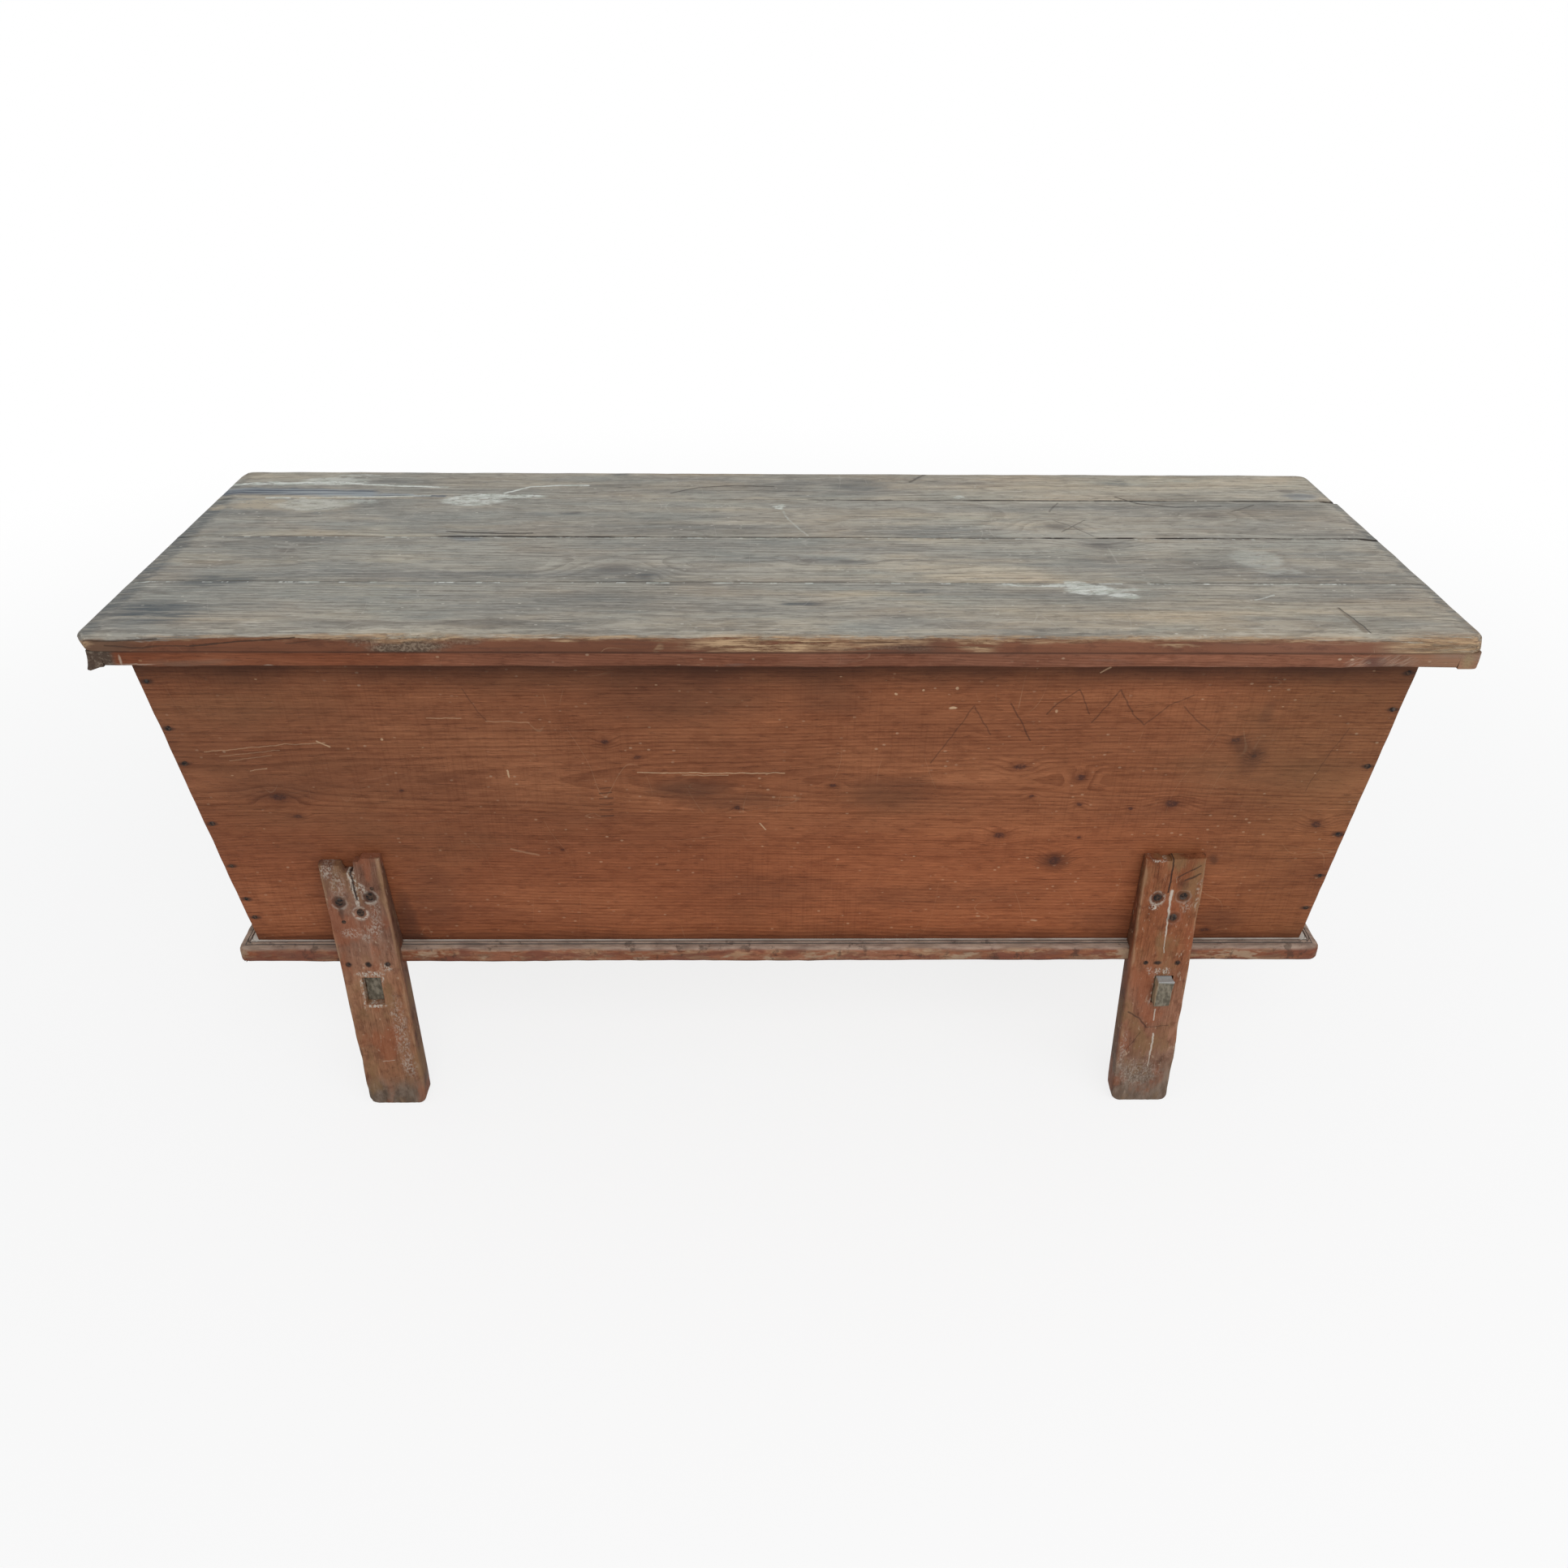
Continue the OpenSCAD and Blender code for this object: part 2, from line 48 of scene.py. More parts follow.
# The lid's four boards: old pine, planed by hand, gone grey on top from a century of use. The slab's
# upper edge is rubbed down to bare wood, splintered near the middle of the front, and its corners are round.
# The boards lie edge to edge and are nailed from below through the strips and battens.
LID_TOP = node_box["lid_board_front"][1].z
LID_EDGE_Y = -node_box["lid_board_front"][0].y
LID_EDGE_X = node_box["lid_board_front"][1].x
# The radius of the slab's corners, and how far in from them its finer mesh begins
LID_ROUND, LID_INSET = 0.02, 0.03
LID_JOINTS = [node_box["lid_board_" + name][1].y for name in ("front", "second", "third")]


def block(name, low, high):
    """A new block between two corners, left in edit mode."""
    bpy.ops.object.select_all(action="DESELECT")
    low, high = Vector(low), Vector(high)
    bpy.ops.mesh.primitive_cube_add(size=1, location=(low + high) / 2, scale=high - low)
    piece = bpy.context.active_object
    piece.name = piece.data.name = name
    bpy.ops.object.transform_apply(location=True, rotation=True, scale=True)
    bpy.ops.object.mode_set(mode="EDIT")
    return piece


def pick(piece):
    """Makes the piece the active one, and selects it alone."""
    bpy.ops.object.select_all(action="DESELECT")
    piece.select_set(True)
    bpy.context.view_layer.objects.active = piece


def middle(item):
    """Where a vertex, an edge or a face is."""
    if isinstance(item, bmesh.types.BMVert):
        return item.co
    if isinstance(item, bmesh.types.BMEdge):
        return (item.verts[0].co + item.verts[1].co) / 2
    return item.calc_center_median()


def choose(kind, test):
    """Selects, in edit mode, the vertices, edges or faces that pass a test of their place."""
    kinds = ("verts", "edges", "faces")
    bpy.context.tool_settings.mesh_select_mode = tuple(kind == k for k in kinds)
    data = bpy.context.active_object.data
    mesh = bmesh.from_edit_mesh(data)
    for group in (mesh.faces, mesh.edges, mesh.verts):
        for item in group:
            item.select = False
    for item in getattr(mesh, kind):
        if test(item, middle(item)):
            item.select_set(True)
    mesh.select_flush_mode()
    bmesh.update_edit_mesh(data)


def runs(edge, axis):
    """Whether an edge runs along an axis."""
    way = edge.verts[1].co - edge.verts[0].co
    return abs(way[axis]) > 0.9 * way.length


def bevel(width, segments, test):
    """Bevels the edges that pass a test of their place."""
    choose("edges", test)
    bpy.ops.mesh.bevel(offset=width, segments=segments, affect="EDGES")


def extrude(shift):
    """Draws the chosen faces out by a shift."""
    bpy.ops.mesh.extrude_region_move(TRANSFORM_OT_translate={"value": shift})


def slice_at(axis, places):
    """Cuts new edge loops across the piece at places along an axis."""
    for place in places:
        bpy.ops.mesh.select_all(action="SELECT")
        point, normal = [0, 0, 0], [0, 0, 0]
        point[axis], normal[axis] = place, 1
        bpy.ops.mesh.bisect(plane_co=point, plane_no=normal)


def divide(axis, cuts, low=-9, high=9):
    """Divides the edges along an axis whose middle lies between two places."""
    choose("edges", lambda e, c: runs(e, axis) and low < c[axis] < high)
    bpy.ops.mesh.subdivide(number_cuts=cuts)


def falloff(gap, reach):
    """A share that falls from 1 where the gap is nought to 0 where it is the reach."""
    return max(0, 1 - gap / reach)


def held(value):
    """The value, held between 0 and 1."""
    return max(0, min(1, value))


def weights(piece, name, share):
    """A vertex group whose weight follows from each vertex's place."""
    group = piece.vertex_groups.new(name=name)
    for v in piece.data.vertices:
        w = share(v.co)
        if w > 0.001:
            group.add([v.index], min(w, 1), "REPLACE")
    return name


def rub(piece, name, share, depth, size, level=0.35, way="NORMAL", grain=(1, 1, 1)):
    """Wears the piece inwards by a cloudy pattern, size metres across, drawn out along grain, as far as each
    vertex's share says."""
    bpy.context.view_layer.objects.active = piece
    guide = bpy.data.objects.new("guide", None)
    bpy.context.scene.collection.objects.link(guide)
    guide.scale = grain
    bpy.context.view_layer.update()
    cloud = bpy.data.textures.new(piece.name, "CLOUDS")
    cloud.noise_scale, cloud.noise_depth = size, 3
    change = piece.modifiers.new("rub", "DISPLACE")
    change.texture, change.texture_coords, change.texture_coords_object = cloud, "OBJECT", guide
    change.strength, change.mid_level, change.direction = -depth, level, way
    change.vertex_group = weights(piece, name, share)
    bpy.ops.object.modifier_apply(modifier="rub")
    bpy.data.objects.remove(guide)
    bpy.data.textures.remove(cloud)


def push(piece, name, axis, amount, share):
    """Shifts the piece along an axis by an amount times each vertex's share."""
    bpy.context.view_layer.objects.active = piece
    change = piece.modifiers.new(name, "DISPLACE")
    change.direction, change.mid_level, change.strength = axis, 0, amount
    change.vertex_group = weights(piece, name, share)
    bpy.ops.object.modifier_apply(modifier=name)


def done(piece, material, slot, body, *nodes):
    """Gives the finished piece its shading, material, body and the solids that it stands for. slot is not used."""
    pick(piece)
    bpy.ops.object.shade_smooth_by_angle(angle=math.radians(38))
    piece.data.materials.clear()
    piece.data.materials.append(material)
    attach(piece, body)
    if nodes:
        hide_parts(*nodes)


tree = None  # The shader tree that the functions below add to


def feed(socket, value):
    """Links a socket to an output, or sets its value."""
    if isinstance(value, bpy.types.NodeSocket):
        tree.links.new(value, socket)
    else:
        socket.default_value = value


def put(kind, *inputs, **settings):
    """A shader node with its inputs linked or set in order, skipping those given as None."""
    node = tree.nodes.new("ShaderNode" + kind)
    for key, value in settings.items():
        setattr(node, key, value)
    for socket, value in zip(node.inputs, inputs):
        if value is not None:
            feed(socket, value)
    return node


def math_node(operation, *inputs):
    """A sum, a product or the like, of one to three values."""
    return put("Math", *inputs, operation=operation).outputs[0]


times, times_plus, plus, minus, ratio, most, least, absolute = (
    partial(math_node, operation) for operation in (
        "MULTIPLY", "MULTIPLY_ADD", "ADD", "SUBTRACT", "DIVIDE", "MAXIMUM", "MINIMUM", "ABSOLUTE"))


def vector_node(operation, *inputs, scale=None):
    """The same for places, with a number as the result where the step measures one."""
    node = put("VectorMath", *inputs, operation=operation)
    if scale is not None:
        feed(node.inputs["Scale"], scale)
    return node.outputs["Value" if operation in ("LENGTH", "DISTANCE", "DOT_PRODUCT") else "Vector"]


def stretched(place, stretch):
    """A place with its X, Y and Z each made larger or smaller."""
    return vector_node("MULTIPLY", place, stretch)


def parts(place):
    """A place's X, Y and Z."""
    return put("SeparateXYZ", place).outputs


def joined(*values):
    """A place made from its X, Y and Z."""
    return put("CombineXYZ", *values).outputs[0]


def noise(place, stretch, detail=3, rough=0.55):
    """A cloudy value from 0 to 1, with stretch clouds in each metre along X, Y and Z."""
    return put("TexNoise", stretched(place, stretch), None, 1, detail, rough).outputs[0]


def cells(place, stretch):
    """How far the nearest of many scattered points is, with stretch of them in each metre along X, Y and Z."""
    return put("TexVoronoi", stretched(place, stretch), None, 1).outputs["Distance"]


def fade(value, low, high, start=0.0, end=1.0):
    """A smooth step from start to end as the value goes from low to high."""
    return put("MapRange", value, low, high, start, end, interpolation_type="SMOOTHSTEP").outputs[0]


def mix(share, below, above, way="MIX"):
    """One colour over another, as far as the share says."""
    node = tree.nodes.new("ShaderNodeMix")
    node.data_type, node.blend_type = "RGBA", way
    for key, value in ((0, share), (6, below), (7, above)):
        feed(node.inputs[key], (*value, 1) if isinstance(value, tuple) else value)
    return node.outputs[2]


tint = partial(mix, way="MULTIPLY")


def coats(colour, *rows):
    """A colour with others laid over it in turn, given as (share, colour)."""
    for share, coat in rows:
        colour = mix(share, colour, coat)
    return colour


def tints(colour, *rows):
    """A colour multiplied by others in turn, given as (share, colour)."""
    for share, hue in rows:
        colour = tint(share, colour, hue)
    return colour


def product(value, *factors):
    """A value multiplied by others in turn."""
    for factor in factors:
        value = times(value, factor)
    return value


def raised(height, *rows):
    """A height with others added to it in turn, given as (height, factor)."""
    for value, factor in rows:
        height = times_plus(value, factor, height)
    return height


def node_group(name, inputs, outputs):
    """An empty shader group with named sockets, given as name: default or name alone."""
    global tree
    tree = bpy.data.node_groups.new(name, "ShaderNodeTree")
    for label, value in inputs.items():
        kind = "NodeSocketVector" if isinstance(value, tuple) else "NodeSocketFloat"
        tree.interface.new_socket(label, in_out="INPUT", socket_type=kind).default_value = value
    for label in outputs:
        tree.interface.new_socket(label, in_out="OUTPUT", socket_type="NodeSocketFloat")
    entry = tree.nodes.new("NodeGroupInput")
    return tree, {socket.name: socket for socket in entry.outputs if socket.name}


def give(**values):
    """Links the results of the group in work to its outputs."""
    leave = tree.nodes.new("NodeGroupOutput")
    for label, value in values.items():
        tree.links.new(value, leave.inputs[label])


def use(group, **values):
    """Places a group in a material and returns its outputs by name."""
    node = tree.nodes.new("ShaderNodeGroup")
    node.node_tree = group
    for label, value in values.items():
        feed(node.inputs[label], value)
    return {socket.name: socket for socket in node.outputs}


ORIGIN = (0.0, 0.0, 0.0)

# Growth rings of a sawn board: rings round a pith that lies below the board, so they run as lines along the
# edges and as pointed arches over the middle. Field, from the knots, bends them.
rings_group, given = node_group("growth_rings", {
    "Place": ORIGIN, "Pith": 0.0, "Depth": 0.05, "Drift": 0.03, "Spacing": 0.004, "Waver": 0.02, "Field": 0.0,
}, ("Late", "Fibre", "Tone"))
place, waver = given["Place"], given["Waver"]
x, y, z = parts(place)
sway = minus(noise(place, (1.1, 3, 3), 2), 0.5)
heave = minus(noise(place, (2.3, 1.5, 1.5), 2), 0.5)
across = times_plus(sway, waver, minus(y, given["Pith"]))
deep = times_plus(x, given["Drift"], plus(given["Depth"], z))
deep = times_plus(heave, times(waver, 1.5), deep)
radius = math_node("SQRT", plus(times(across, across), times(deep, deep)))
jitter = minus(noise(place, (14, 160, 160), 2), 0.5)
radius = times_plus(jitter, 0.0013, plus(radius, given["Field"]))
turns = ratio(radius, given["Spacing"])
year = math_node("FRACT", turns)
late = times(fade(year, 0.3, 0.9), fade(year, 0.93, 1.0, 1, 0))
which = put("TexWhiteNoise", None, math_node("FLOOR", turns), noise_dimensions="1D").outputs[0]
late = times(late, fade(which, 0, 1, 0.35, 1))
give(Late=late, Fibre=noise(place, (9, 420, 420), 4, 0.65), Tone=noise(place, (2.1, 9, 9), 4, 0.6))


def from_centre(given):
    """How far a place is from the centre, drawn out by the shape."""
    return vector_node("LENGTH", stretched(vector_node("SUBTRACT", given["Place"], given["Centre"]), given["Shape"]))


# One knot: bends the rings round itself, with a dark core and a stained halo.
knot_group, given = node_group("knot", {
    "Place": ORIGIN, "Centre": ORIGIN, "Shape": (1.0, 1.0, 0.0), "Radius": 0.006, "Field": 0.0, "Core": 0.0,
    "Halo": 0.0,
}, ("Field", "Core", "Halo"))
far = ratio(from_centre(given), given["Radius"])
give(Field=times_plus(fade(far, 0, 4.5, 1, 0), times(given["Radius"], 1.6), given["Field"]),
     Core=most(fade(far, 0.5, 1.2, 1, 0), given["Core"]),
     Halo=most(fade(far, 0.6, 2.8, 1, 0), given["Halo"]))

# A patch such as a stain or a splash of paint, and a stroke such as a scratch or a crack.
patch_group, given = node_group("patch", {
    "Place": ORIGIN, "Centre": ORIGIN, "Shape": (1.0, 1.0, 0.0), "Soft": 0.15, "Share": 1.0, "Mask": 0.0,
}, ("Mask",))
far = from_centre(given)
inside = fade(far, plus(1, given["Soft"]), minus(1, given["Soft"]), 0.0, given["Share"])
give(Mask=most(inside, given["Mask"]))

stroke_group, given = node_group("stroke", {
    "Place": ORIGIN, "Start": ORIGIN, "Way": (1.0, 0.0, 0.0), "Length": 0.05, "Width": 0.001, "Share": 1.0,
    "Mask": 0.0,
}, ("Mask",))
step = stretched(vector_node("SUBTRACT", given["Place"], given["Start"]), (1, 1, 0))
along = put("Clamp", vector_node("DOT_PRODUCT", step, given["Way"]), 0.0, given["Length"]).outputs[0]
gap = vector_node("DISTANCE", step, vector_node("SCALE", given["Way"], scale=along))
line = put("MapRange", ratio(gap, given["Width"]), 1.0, 0.4, 0.0, given["Share"]).outputs[0]
give(Mask=most(line, given["Mask"]))

# Small marks of use: hairline scratches, pale flecks, dark pores drawn out along the grain, and mottling.
handling_group, given = node_group("handling", {"Place": ORIGIN}, ("Hair", "Fleck", "Pore", "Mottle"))
place = given["Place"]
hair = least(*(absolute(minus(noise(place, stretch, 0), 0.5)) for stretch in ((4, 26, 26), (17, 6, 17))))
scratched = fade(noise(place, (6, 11, 11), 2), 0.5, 0.6)
flecked = fade(noise(place, (9, 13, 13), 3), 0.45, 0.62)
give(Hair=times(fade(hair, 0.001, 0.0035, 1, 0), scratched),
     Fleck=times(fade(cells(place, (60, 90, 90)), 0.07, 0.16, 1, 0), flecked),
     Pore=fade(noise(place, (60, 640, 640), 3, 0.6), 0.58, 0.7),
     Mottle=noise(place, (42, 120, 120), 5, 0.68))


def knots(place, listed):
    """Knots as (along, across, radius, length over width). Returns the bend, core and halo."""
    out = {"Field": 0.0, "Core": 0.0, "Halo": 0.0}
    for x, y, radius, long in listed:
        out = use(knot_group, Place=place, Centre=(x, y, 0), Shape=(1 / long, 1, 0), Radius=radius, **out)
    return out["Field"], out["Core"], out["Halo"]


def patches(place, listed, soft=0.15):
    """Patches as (along, across, half length, half width, share)."""
    mask = 0.0
    for x, y, long, wide, share in listed:
        mask = use(patch_group, Place=place, Centre=(x, y, 0), Shape=(1 / long, 1 / wide, 0), Soft=soft, Share=share,
            Mask=mask)["Mask"]
    return mask


def strokes(place, listed):
    """Strokes as (points, width, share), each drawn straight from point to point."""
    mask = 0.0
    for points, width, share in listed:
        for a, b in zip(points, points[1:]):
            way = Vector((*b, 0)) - Vector((*a, 0))
            mask = use(stroke_group, Place=place, Start=(*a, 0), Way=tuple(way.normalized()), Length=way.length,
                Width=width, Share=share, Mask=mask)["Mask"]
    return mask


def shaken(place, amount, size):
    """The place moved about a little, so that drawn marks get ragged outlines."""
    cloud = put("TexNoise", stretched(place, size), None, 1, 4)
    off = vector_node("SUBTRACT", cloud.outputs["Color"], (0.5, 0.5, 0.5))
    return vector_node("ADD", place, stretched(off, (amount, amount, 0)))


def new_material(name):
    """An empty material with its shader and the place on the object."""
    global tree
    material = bpy.data.materials.new(name)
    material.use_nodes = True
    tree = material.node_tree
    shader = tree.nodes["Principled BSDF"]
    shader.inputs["Specular IOR Level"].default_value = 0.15
    place = put("TexCoord").outputs["Object"]
    return material, shader, place


def lay(shader, colour, rough, height, depth):
    """Links the finished colour, roughness and relief to the shader."""
    tree.links.new(colour, shader.inputs["Base Color"])
    tree.links.new(rough, shader.inputs["Roughness"])
    bump = put("Bump", 0.7, depth, None, height)
    tree.links.new(bump.outputs[0], shader.inputs["Normal"])


def lid_marks(place):
    """The paint, stains, cuts and cracks on the lid's top, which run over all its boards."""
    ragged = shaken(place, 0.02, (30, 60, 0))
    rough = shaken(ragged, 0.008, (120, 160, 0))
    fine = shaken(place, 0.005, (50, 50, 0))
    pale = patches(rough, [
        (-0.614, 0.228, 0.045, 0.018, 0.5), (-0.66, 0.217, 0.09, 0.006, 0.75), (-0.59, 0.254, 0.035, 0.004, 0.4),
        (-0.617, 0.132, 0.05, 0.022, 0.42), (-0.56, 0.144, 0.025, 0.009, 0.4), (-0.409, 0.152, 0.04, 0.02, 0.7),
        (-0.396, 0.173, 0.03, 0.006, 0.95), (-0.352, 0.168, 0.035, 0.006, 0.8), (0.352, -0.147, 0.03, 0.014, 0.75),
        (0.337, -0.13, 0.016, 0.01, 0.7), (0.383, -0.163, 0.018, 0.006, 0.7), (0.295, -0.135, 0.045, 0.0035, 0.7),
        (0.385, -0.147, 0.03, 0.004, 0.55), (-0.003, 0.131, 0.006, 0.008, 0.8), (-0.004, 0.131, 0.011, 0.003, 0.6),
        (0.572, -0.05, 0.03, 0.03, 0.25), (0.585, -0.089, 0.03, 0.01, 0.22), (0.239, 0.169, 0.008, 0.004, 0.7),
        (0.075, -0.045, 0.05, 0.012, 0.15), (0.36, 0.03, 0.1, 0.02, 0.12)], 0.2)
    pale = most(pale, strokes(fine, [
        ([(-0.752, 0.216), (-0.679, 0.217), (-0.62, 0.226), (-0.565, 0.214), (-0.456, 0.204)], 0.0042, 0.95),
        ([(-0.685, 0.159), (-0.6, 0.163), (-0.552, 0.163), (-0.472, 0.17)], 0.003, 0.8),
        ([(-0.373, 0.18), (-0.342, 0.208), (-0.3, 0.214), (-0.265, 0.214)], 0.0034, 0.85),
        ([(-0.003, 0.131), (0.008, 0.08), (0.031, 0.023)], 0.002, 0.3),
        ([(0.532, -0.174), (0.545, -0.168), (0.556, -0.161)], 0.002, 0.45)]))
    beige = patches(ragged, [
        (-0.68, 0.134, 0.04, 0.022, 0.75), (-0.735, 0.122, 0.012, 0.01, 0.6), (-0.62, 0.13, 0.06, 0.028, 0.5)], 0.35)
    blue = strokes(rough, [
        ([(-0.757, 0.187), (-0.652, 0.184), (-0.554, 0.176)], 0.019, 0.95),
        ([(-0.554, 0.176), (-0.5, 0.17), (-0.453, 0.167)], 0.007, 0.8)])
    blue = most(blue, patches(ragged, [(0.706, 0.177, 0.022, 0.012, 0.55), (-0.394, 0.012, 0.02, 0.008, 0.4)], 0.4))
    dark = patches(ragged, [
        (0.015, -0.189, 0.022, 0.006, 0.75), (-0.394, 0.008, 0.03, 0.012, 0.4), (-0.653, -0.125, 0.045, 0.02, 0.7),
        (-0.65, -0.016, 0.03, 0.012, 0.35), (-0.157, -0.111, 0.016, 0.01, 0.6), (-0.2, -0.092, 0.035, 0.014, 0.35),
        (0.109, 0.218, 0.035, 0.03, 0.5), (0.67, -0.115, 0.08, 0.03, 0.35), (0.41, -0.004, 0.04, 0.014, 0.3),
        (0.075, -0.058, 0.04, 0.014, 0.4), (-0.272, 0.103, 0.012, 0.004, 0.8), (0.158, -0.151, 0.03, 0.005, 0.6),
        (0.33, -0.06, 0.2, 0.02, 0.2), (-0.5, -0.12, 0.2, 0.02, 0.3), (-0.69, -0.215, 0.055, 0.03, 0.85),
        (0.744, 0.02, 0.007, 0.25, 0.45), (0.744, -0.17, 0.007, 0.09, 0.5), (-0.742, -0.03, 0.014, 0.26, 0.7),
        (-0.507, 0.268, 0.02, 0.005, 0.6), (-0.225, 0.262, 0.015, 0.006, 0.6), (0.465, 0.232, 0.022, 0.01, 0.5),
        (-0.208, -0.009, 0.05, 0.01, 0.3), (0.352, 0.057, 0.03, 0.012, 0.35), (-0.15, -0.004, 0.3, 0.012, 0.22)], 0.5)
    flap = strokes(fine, [
        ([(0.6165, -0.197), (0.6185, -0.218)], 0.0022, 0.5), ([(0.6185, -0.218), (0.621, -0.238)], 0.0036, 0.6),
        ([(0.621, -0.238), (0.6235, -0.256)], 0.0048, 0.65)])
    cut = strokes(fine, [
        ([(0.6175, -0.197), (0.6225, -0.225), (0.6285, -0.259)], 0.0014, 0.6),
        ([(0.452, 0.173), (0.475, 0.147), (0.525, 0.133), (0.585, 0.139)], 0.0022, 0.7),
        ([(-0.149, 0.183), (-0.114, 0.207), (-0.06, 0.216), (-0.011, 0.213)], 0.0026, 0.6),
        ([(0.18, 0.234), (0.202, 0.267)], 0.0032, 0.55), ([(0.593, 0.117), (0.631, 0.143)], 0.0018, 0.45),
        ([(-0.42, 0.035), (-0.36, 0.029), (-0.314, 0.029)], 0.0024, 0.8),
        ([(0.351, 0.081), (0.37, 0.06), (0.39, 0.026)], 0.0016, 0.4), ([(0.354, 0.041), (0.391, 0.082)], 0.0016, 0.4),
        ([(0.351, 0.114), (0.369, 0.149)], 0.0018, 0.4)])
    # Dirt in the joints between the boards, dark along some stretches and hardly to be seen along others
    x, y, z = parts(place)
    way = noise(place, (9, 0.5, 0.5), 4, 0.6)
    wander = times_plus(minus(way, 0.5), 0.004, y)
    broken = fade(noise(place, (17, 3, 3), 4, 0.65), 0.38, 0.52, 0.45, 1)
    joint = 0.0
    for seam, stretches in zip(LID_JOINTS, ([(-0.75, 0.75, 0.002, 0.6)], [
            (-0.43, -0.2, 0.0034, 1), (-0.2, 0.3, 0.0024, 0.85), (0.3, 0.56, 0.0036, 1), (0.56, 0.76, 0.0026, 1),
            (-0.75, -0.43, 0.0016, 0.55)], [
            (-0.1, 0.04, 0.0016, 0.5), (0.04, 0.24, 0.0024, 0.9), (0.24, 0.76, 0.003, 1)])):
        across = absolute(minus(wander, seam))
        for start, stop, wide, full in stretches:
            here = times(fade(x, start - 0.02, start + 0.02), fade(x, stop - 0.02, stop + 0.02, 1, 0))
            line = times(here, fade(across, wide, wide * 0.4, 0, full))
            joint = most(joint, line)
    joint = times(joint, broken)
    dash = 0.0
    for seam, full in ((LID_JOINTS[0] - 0.0025, 0.75), (LID_JOINTS[1] - 0.003, 0.5)):
        across = absolute(minus(y, seam))
        dash = most(dash, fade(across, 0.0026, 0.001, 0, full))
    dash = times(dash, fade(noise(place, (70, 9, 9), 3), 0.52, 0.6))
    pale = most(pale, dash)
    return pale, beige, blue, dark, flap, most(cut, joint)


def edge_marks(place, down, front):
    """Where the slab's front edge is torn to bare wood, chipped and split, by length and by depth below the top."""
    along = parts(place)[0]
    face = joined(along, down)
    face = shaken(shaken(face, 0.02, (16, 90, 0)), 0.007, (90, 300, 0))
    torn = patches(face, [
        (-0.015, 0.009, 0.085, 0.012, 1), (0.1, 0.005, 0.05, 0.006, 0.8), (0.205, 0.008, 0.02, 0.009, 0.8),
        (0.3, 0.002, 0.07, 0.004, 0.6), (0.71, 0.009, 0.06, 0.018, 0.95), (-0.752, 0.011, 0.014, 0.008, 1),
        (-0.43, 0.001, 0.12, 0.005, 0.85), (-0.2, 0.001, 0.09, 0.004, 0.8), (0.5, 0.001, 0.16, 0.003, 0.6),
        (0.42, 0.012, 0.02, 0.002, 0.7), (-0.135, 0.013, 0.004, 0.004, 0.5), (-0.62, 0.0, 0.06, 0.004, 0.5)], 0.5)
    chip = patches(face, [
        (-0.4, 0.012, 0.04, 0.0085, 0.9), (-0.45, 0.006, 0.02, 0.004, 0.5), (-0.34, 0.007, 0.02, 0.004, 0.5),
        (0.1, 0.014, 0.06, 0.003, 0.35)], 0.4)
    split = strokes(shaken(joined(along, down), 0.004, (60, 200, 0)), [
        ([(-0.63, 0.013), (-0.6, 0.0095), (-0.56, 0.005), (-0.52, 0.0015)], 0.0014, 0.8),
        ([(-0.742, 0.005), (-0.71, 0.0065), (-0.665, 0.0035)], 0.0013, 0.7),
        ([(-0.72, 0.0125), (-0.69, 0.0155), (-0.655, 0.0125), (-0.63, 0.0135)], 0.0012, 0.6),
        ([(-0.48, 0.002), (-0.5, 0.0055), (-0.53, 0.0095)], 0.001, 0.5),
        ([(0.12, 0.013), (0.16, 0.0125), (0.2, 0.014)], 0.0009, 0.5)])
    return [times(mark, front) for mark in (torn, chip, split)]


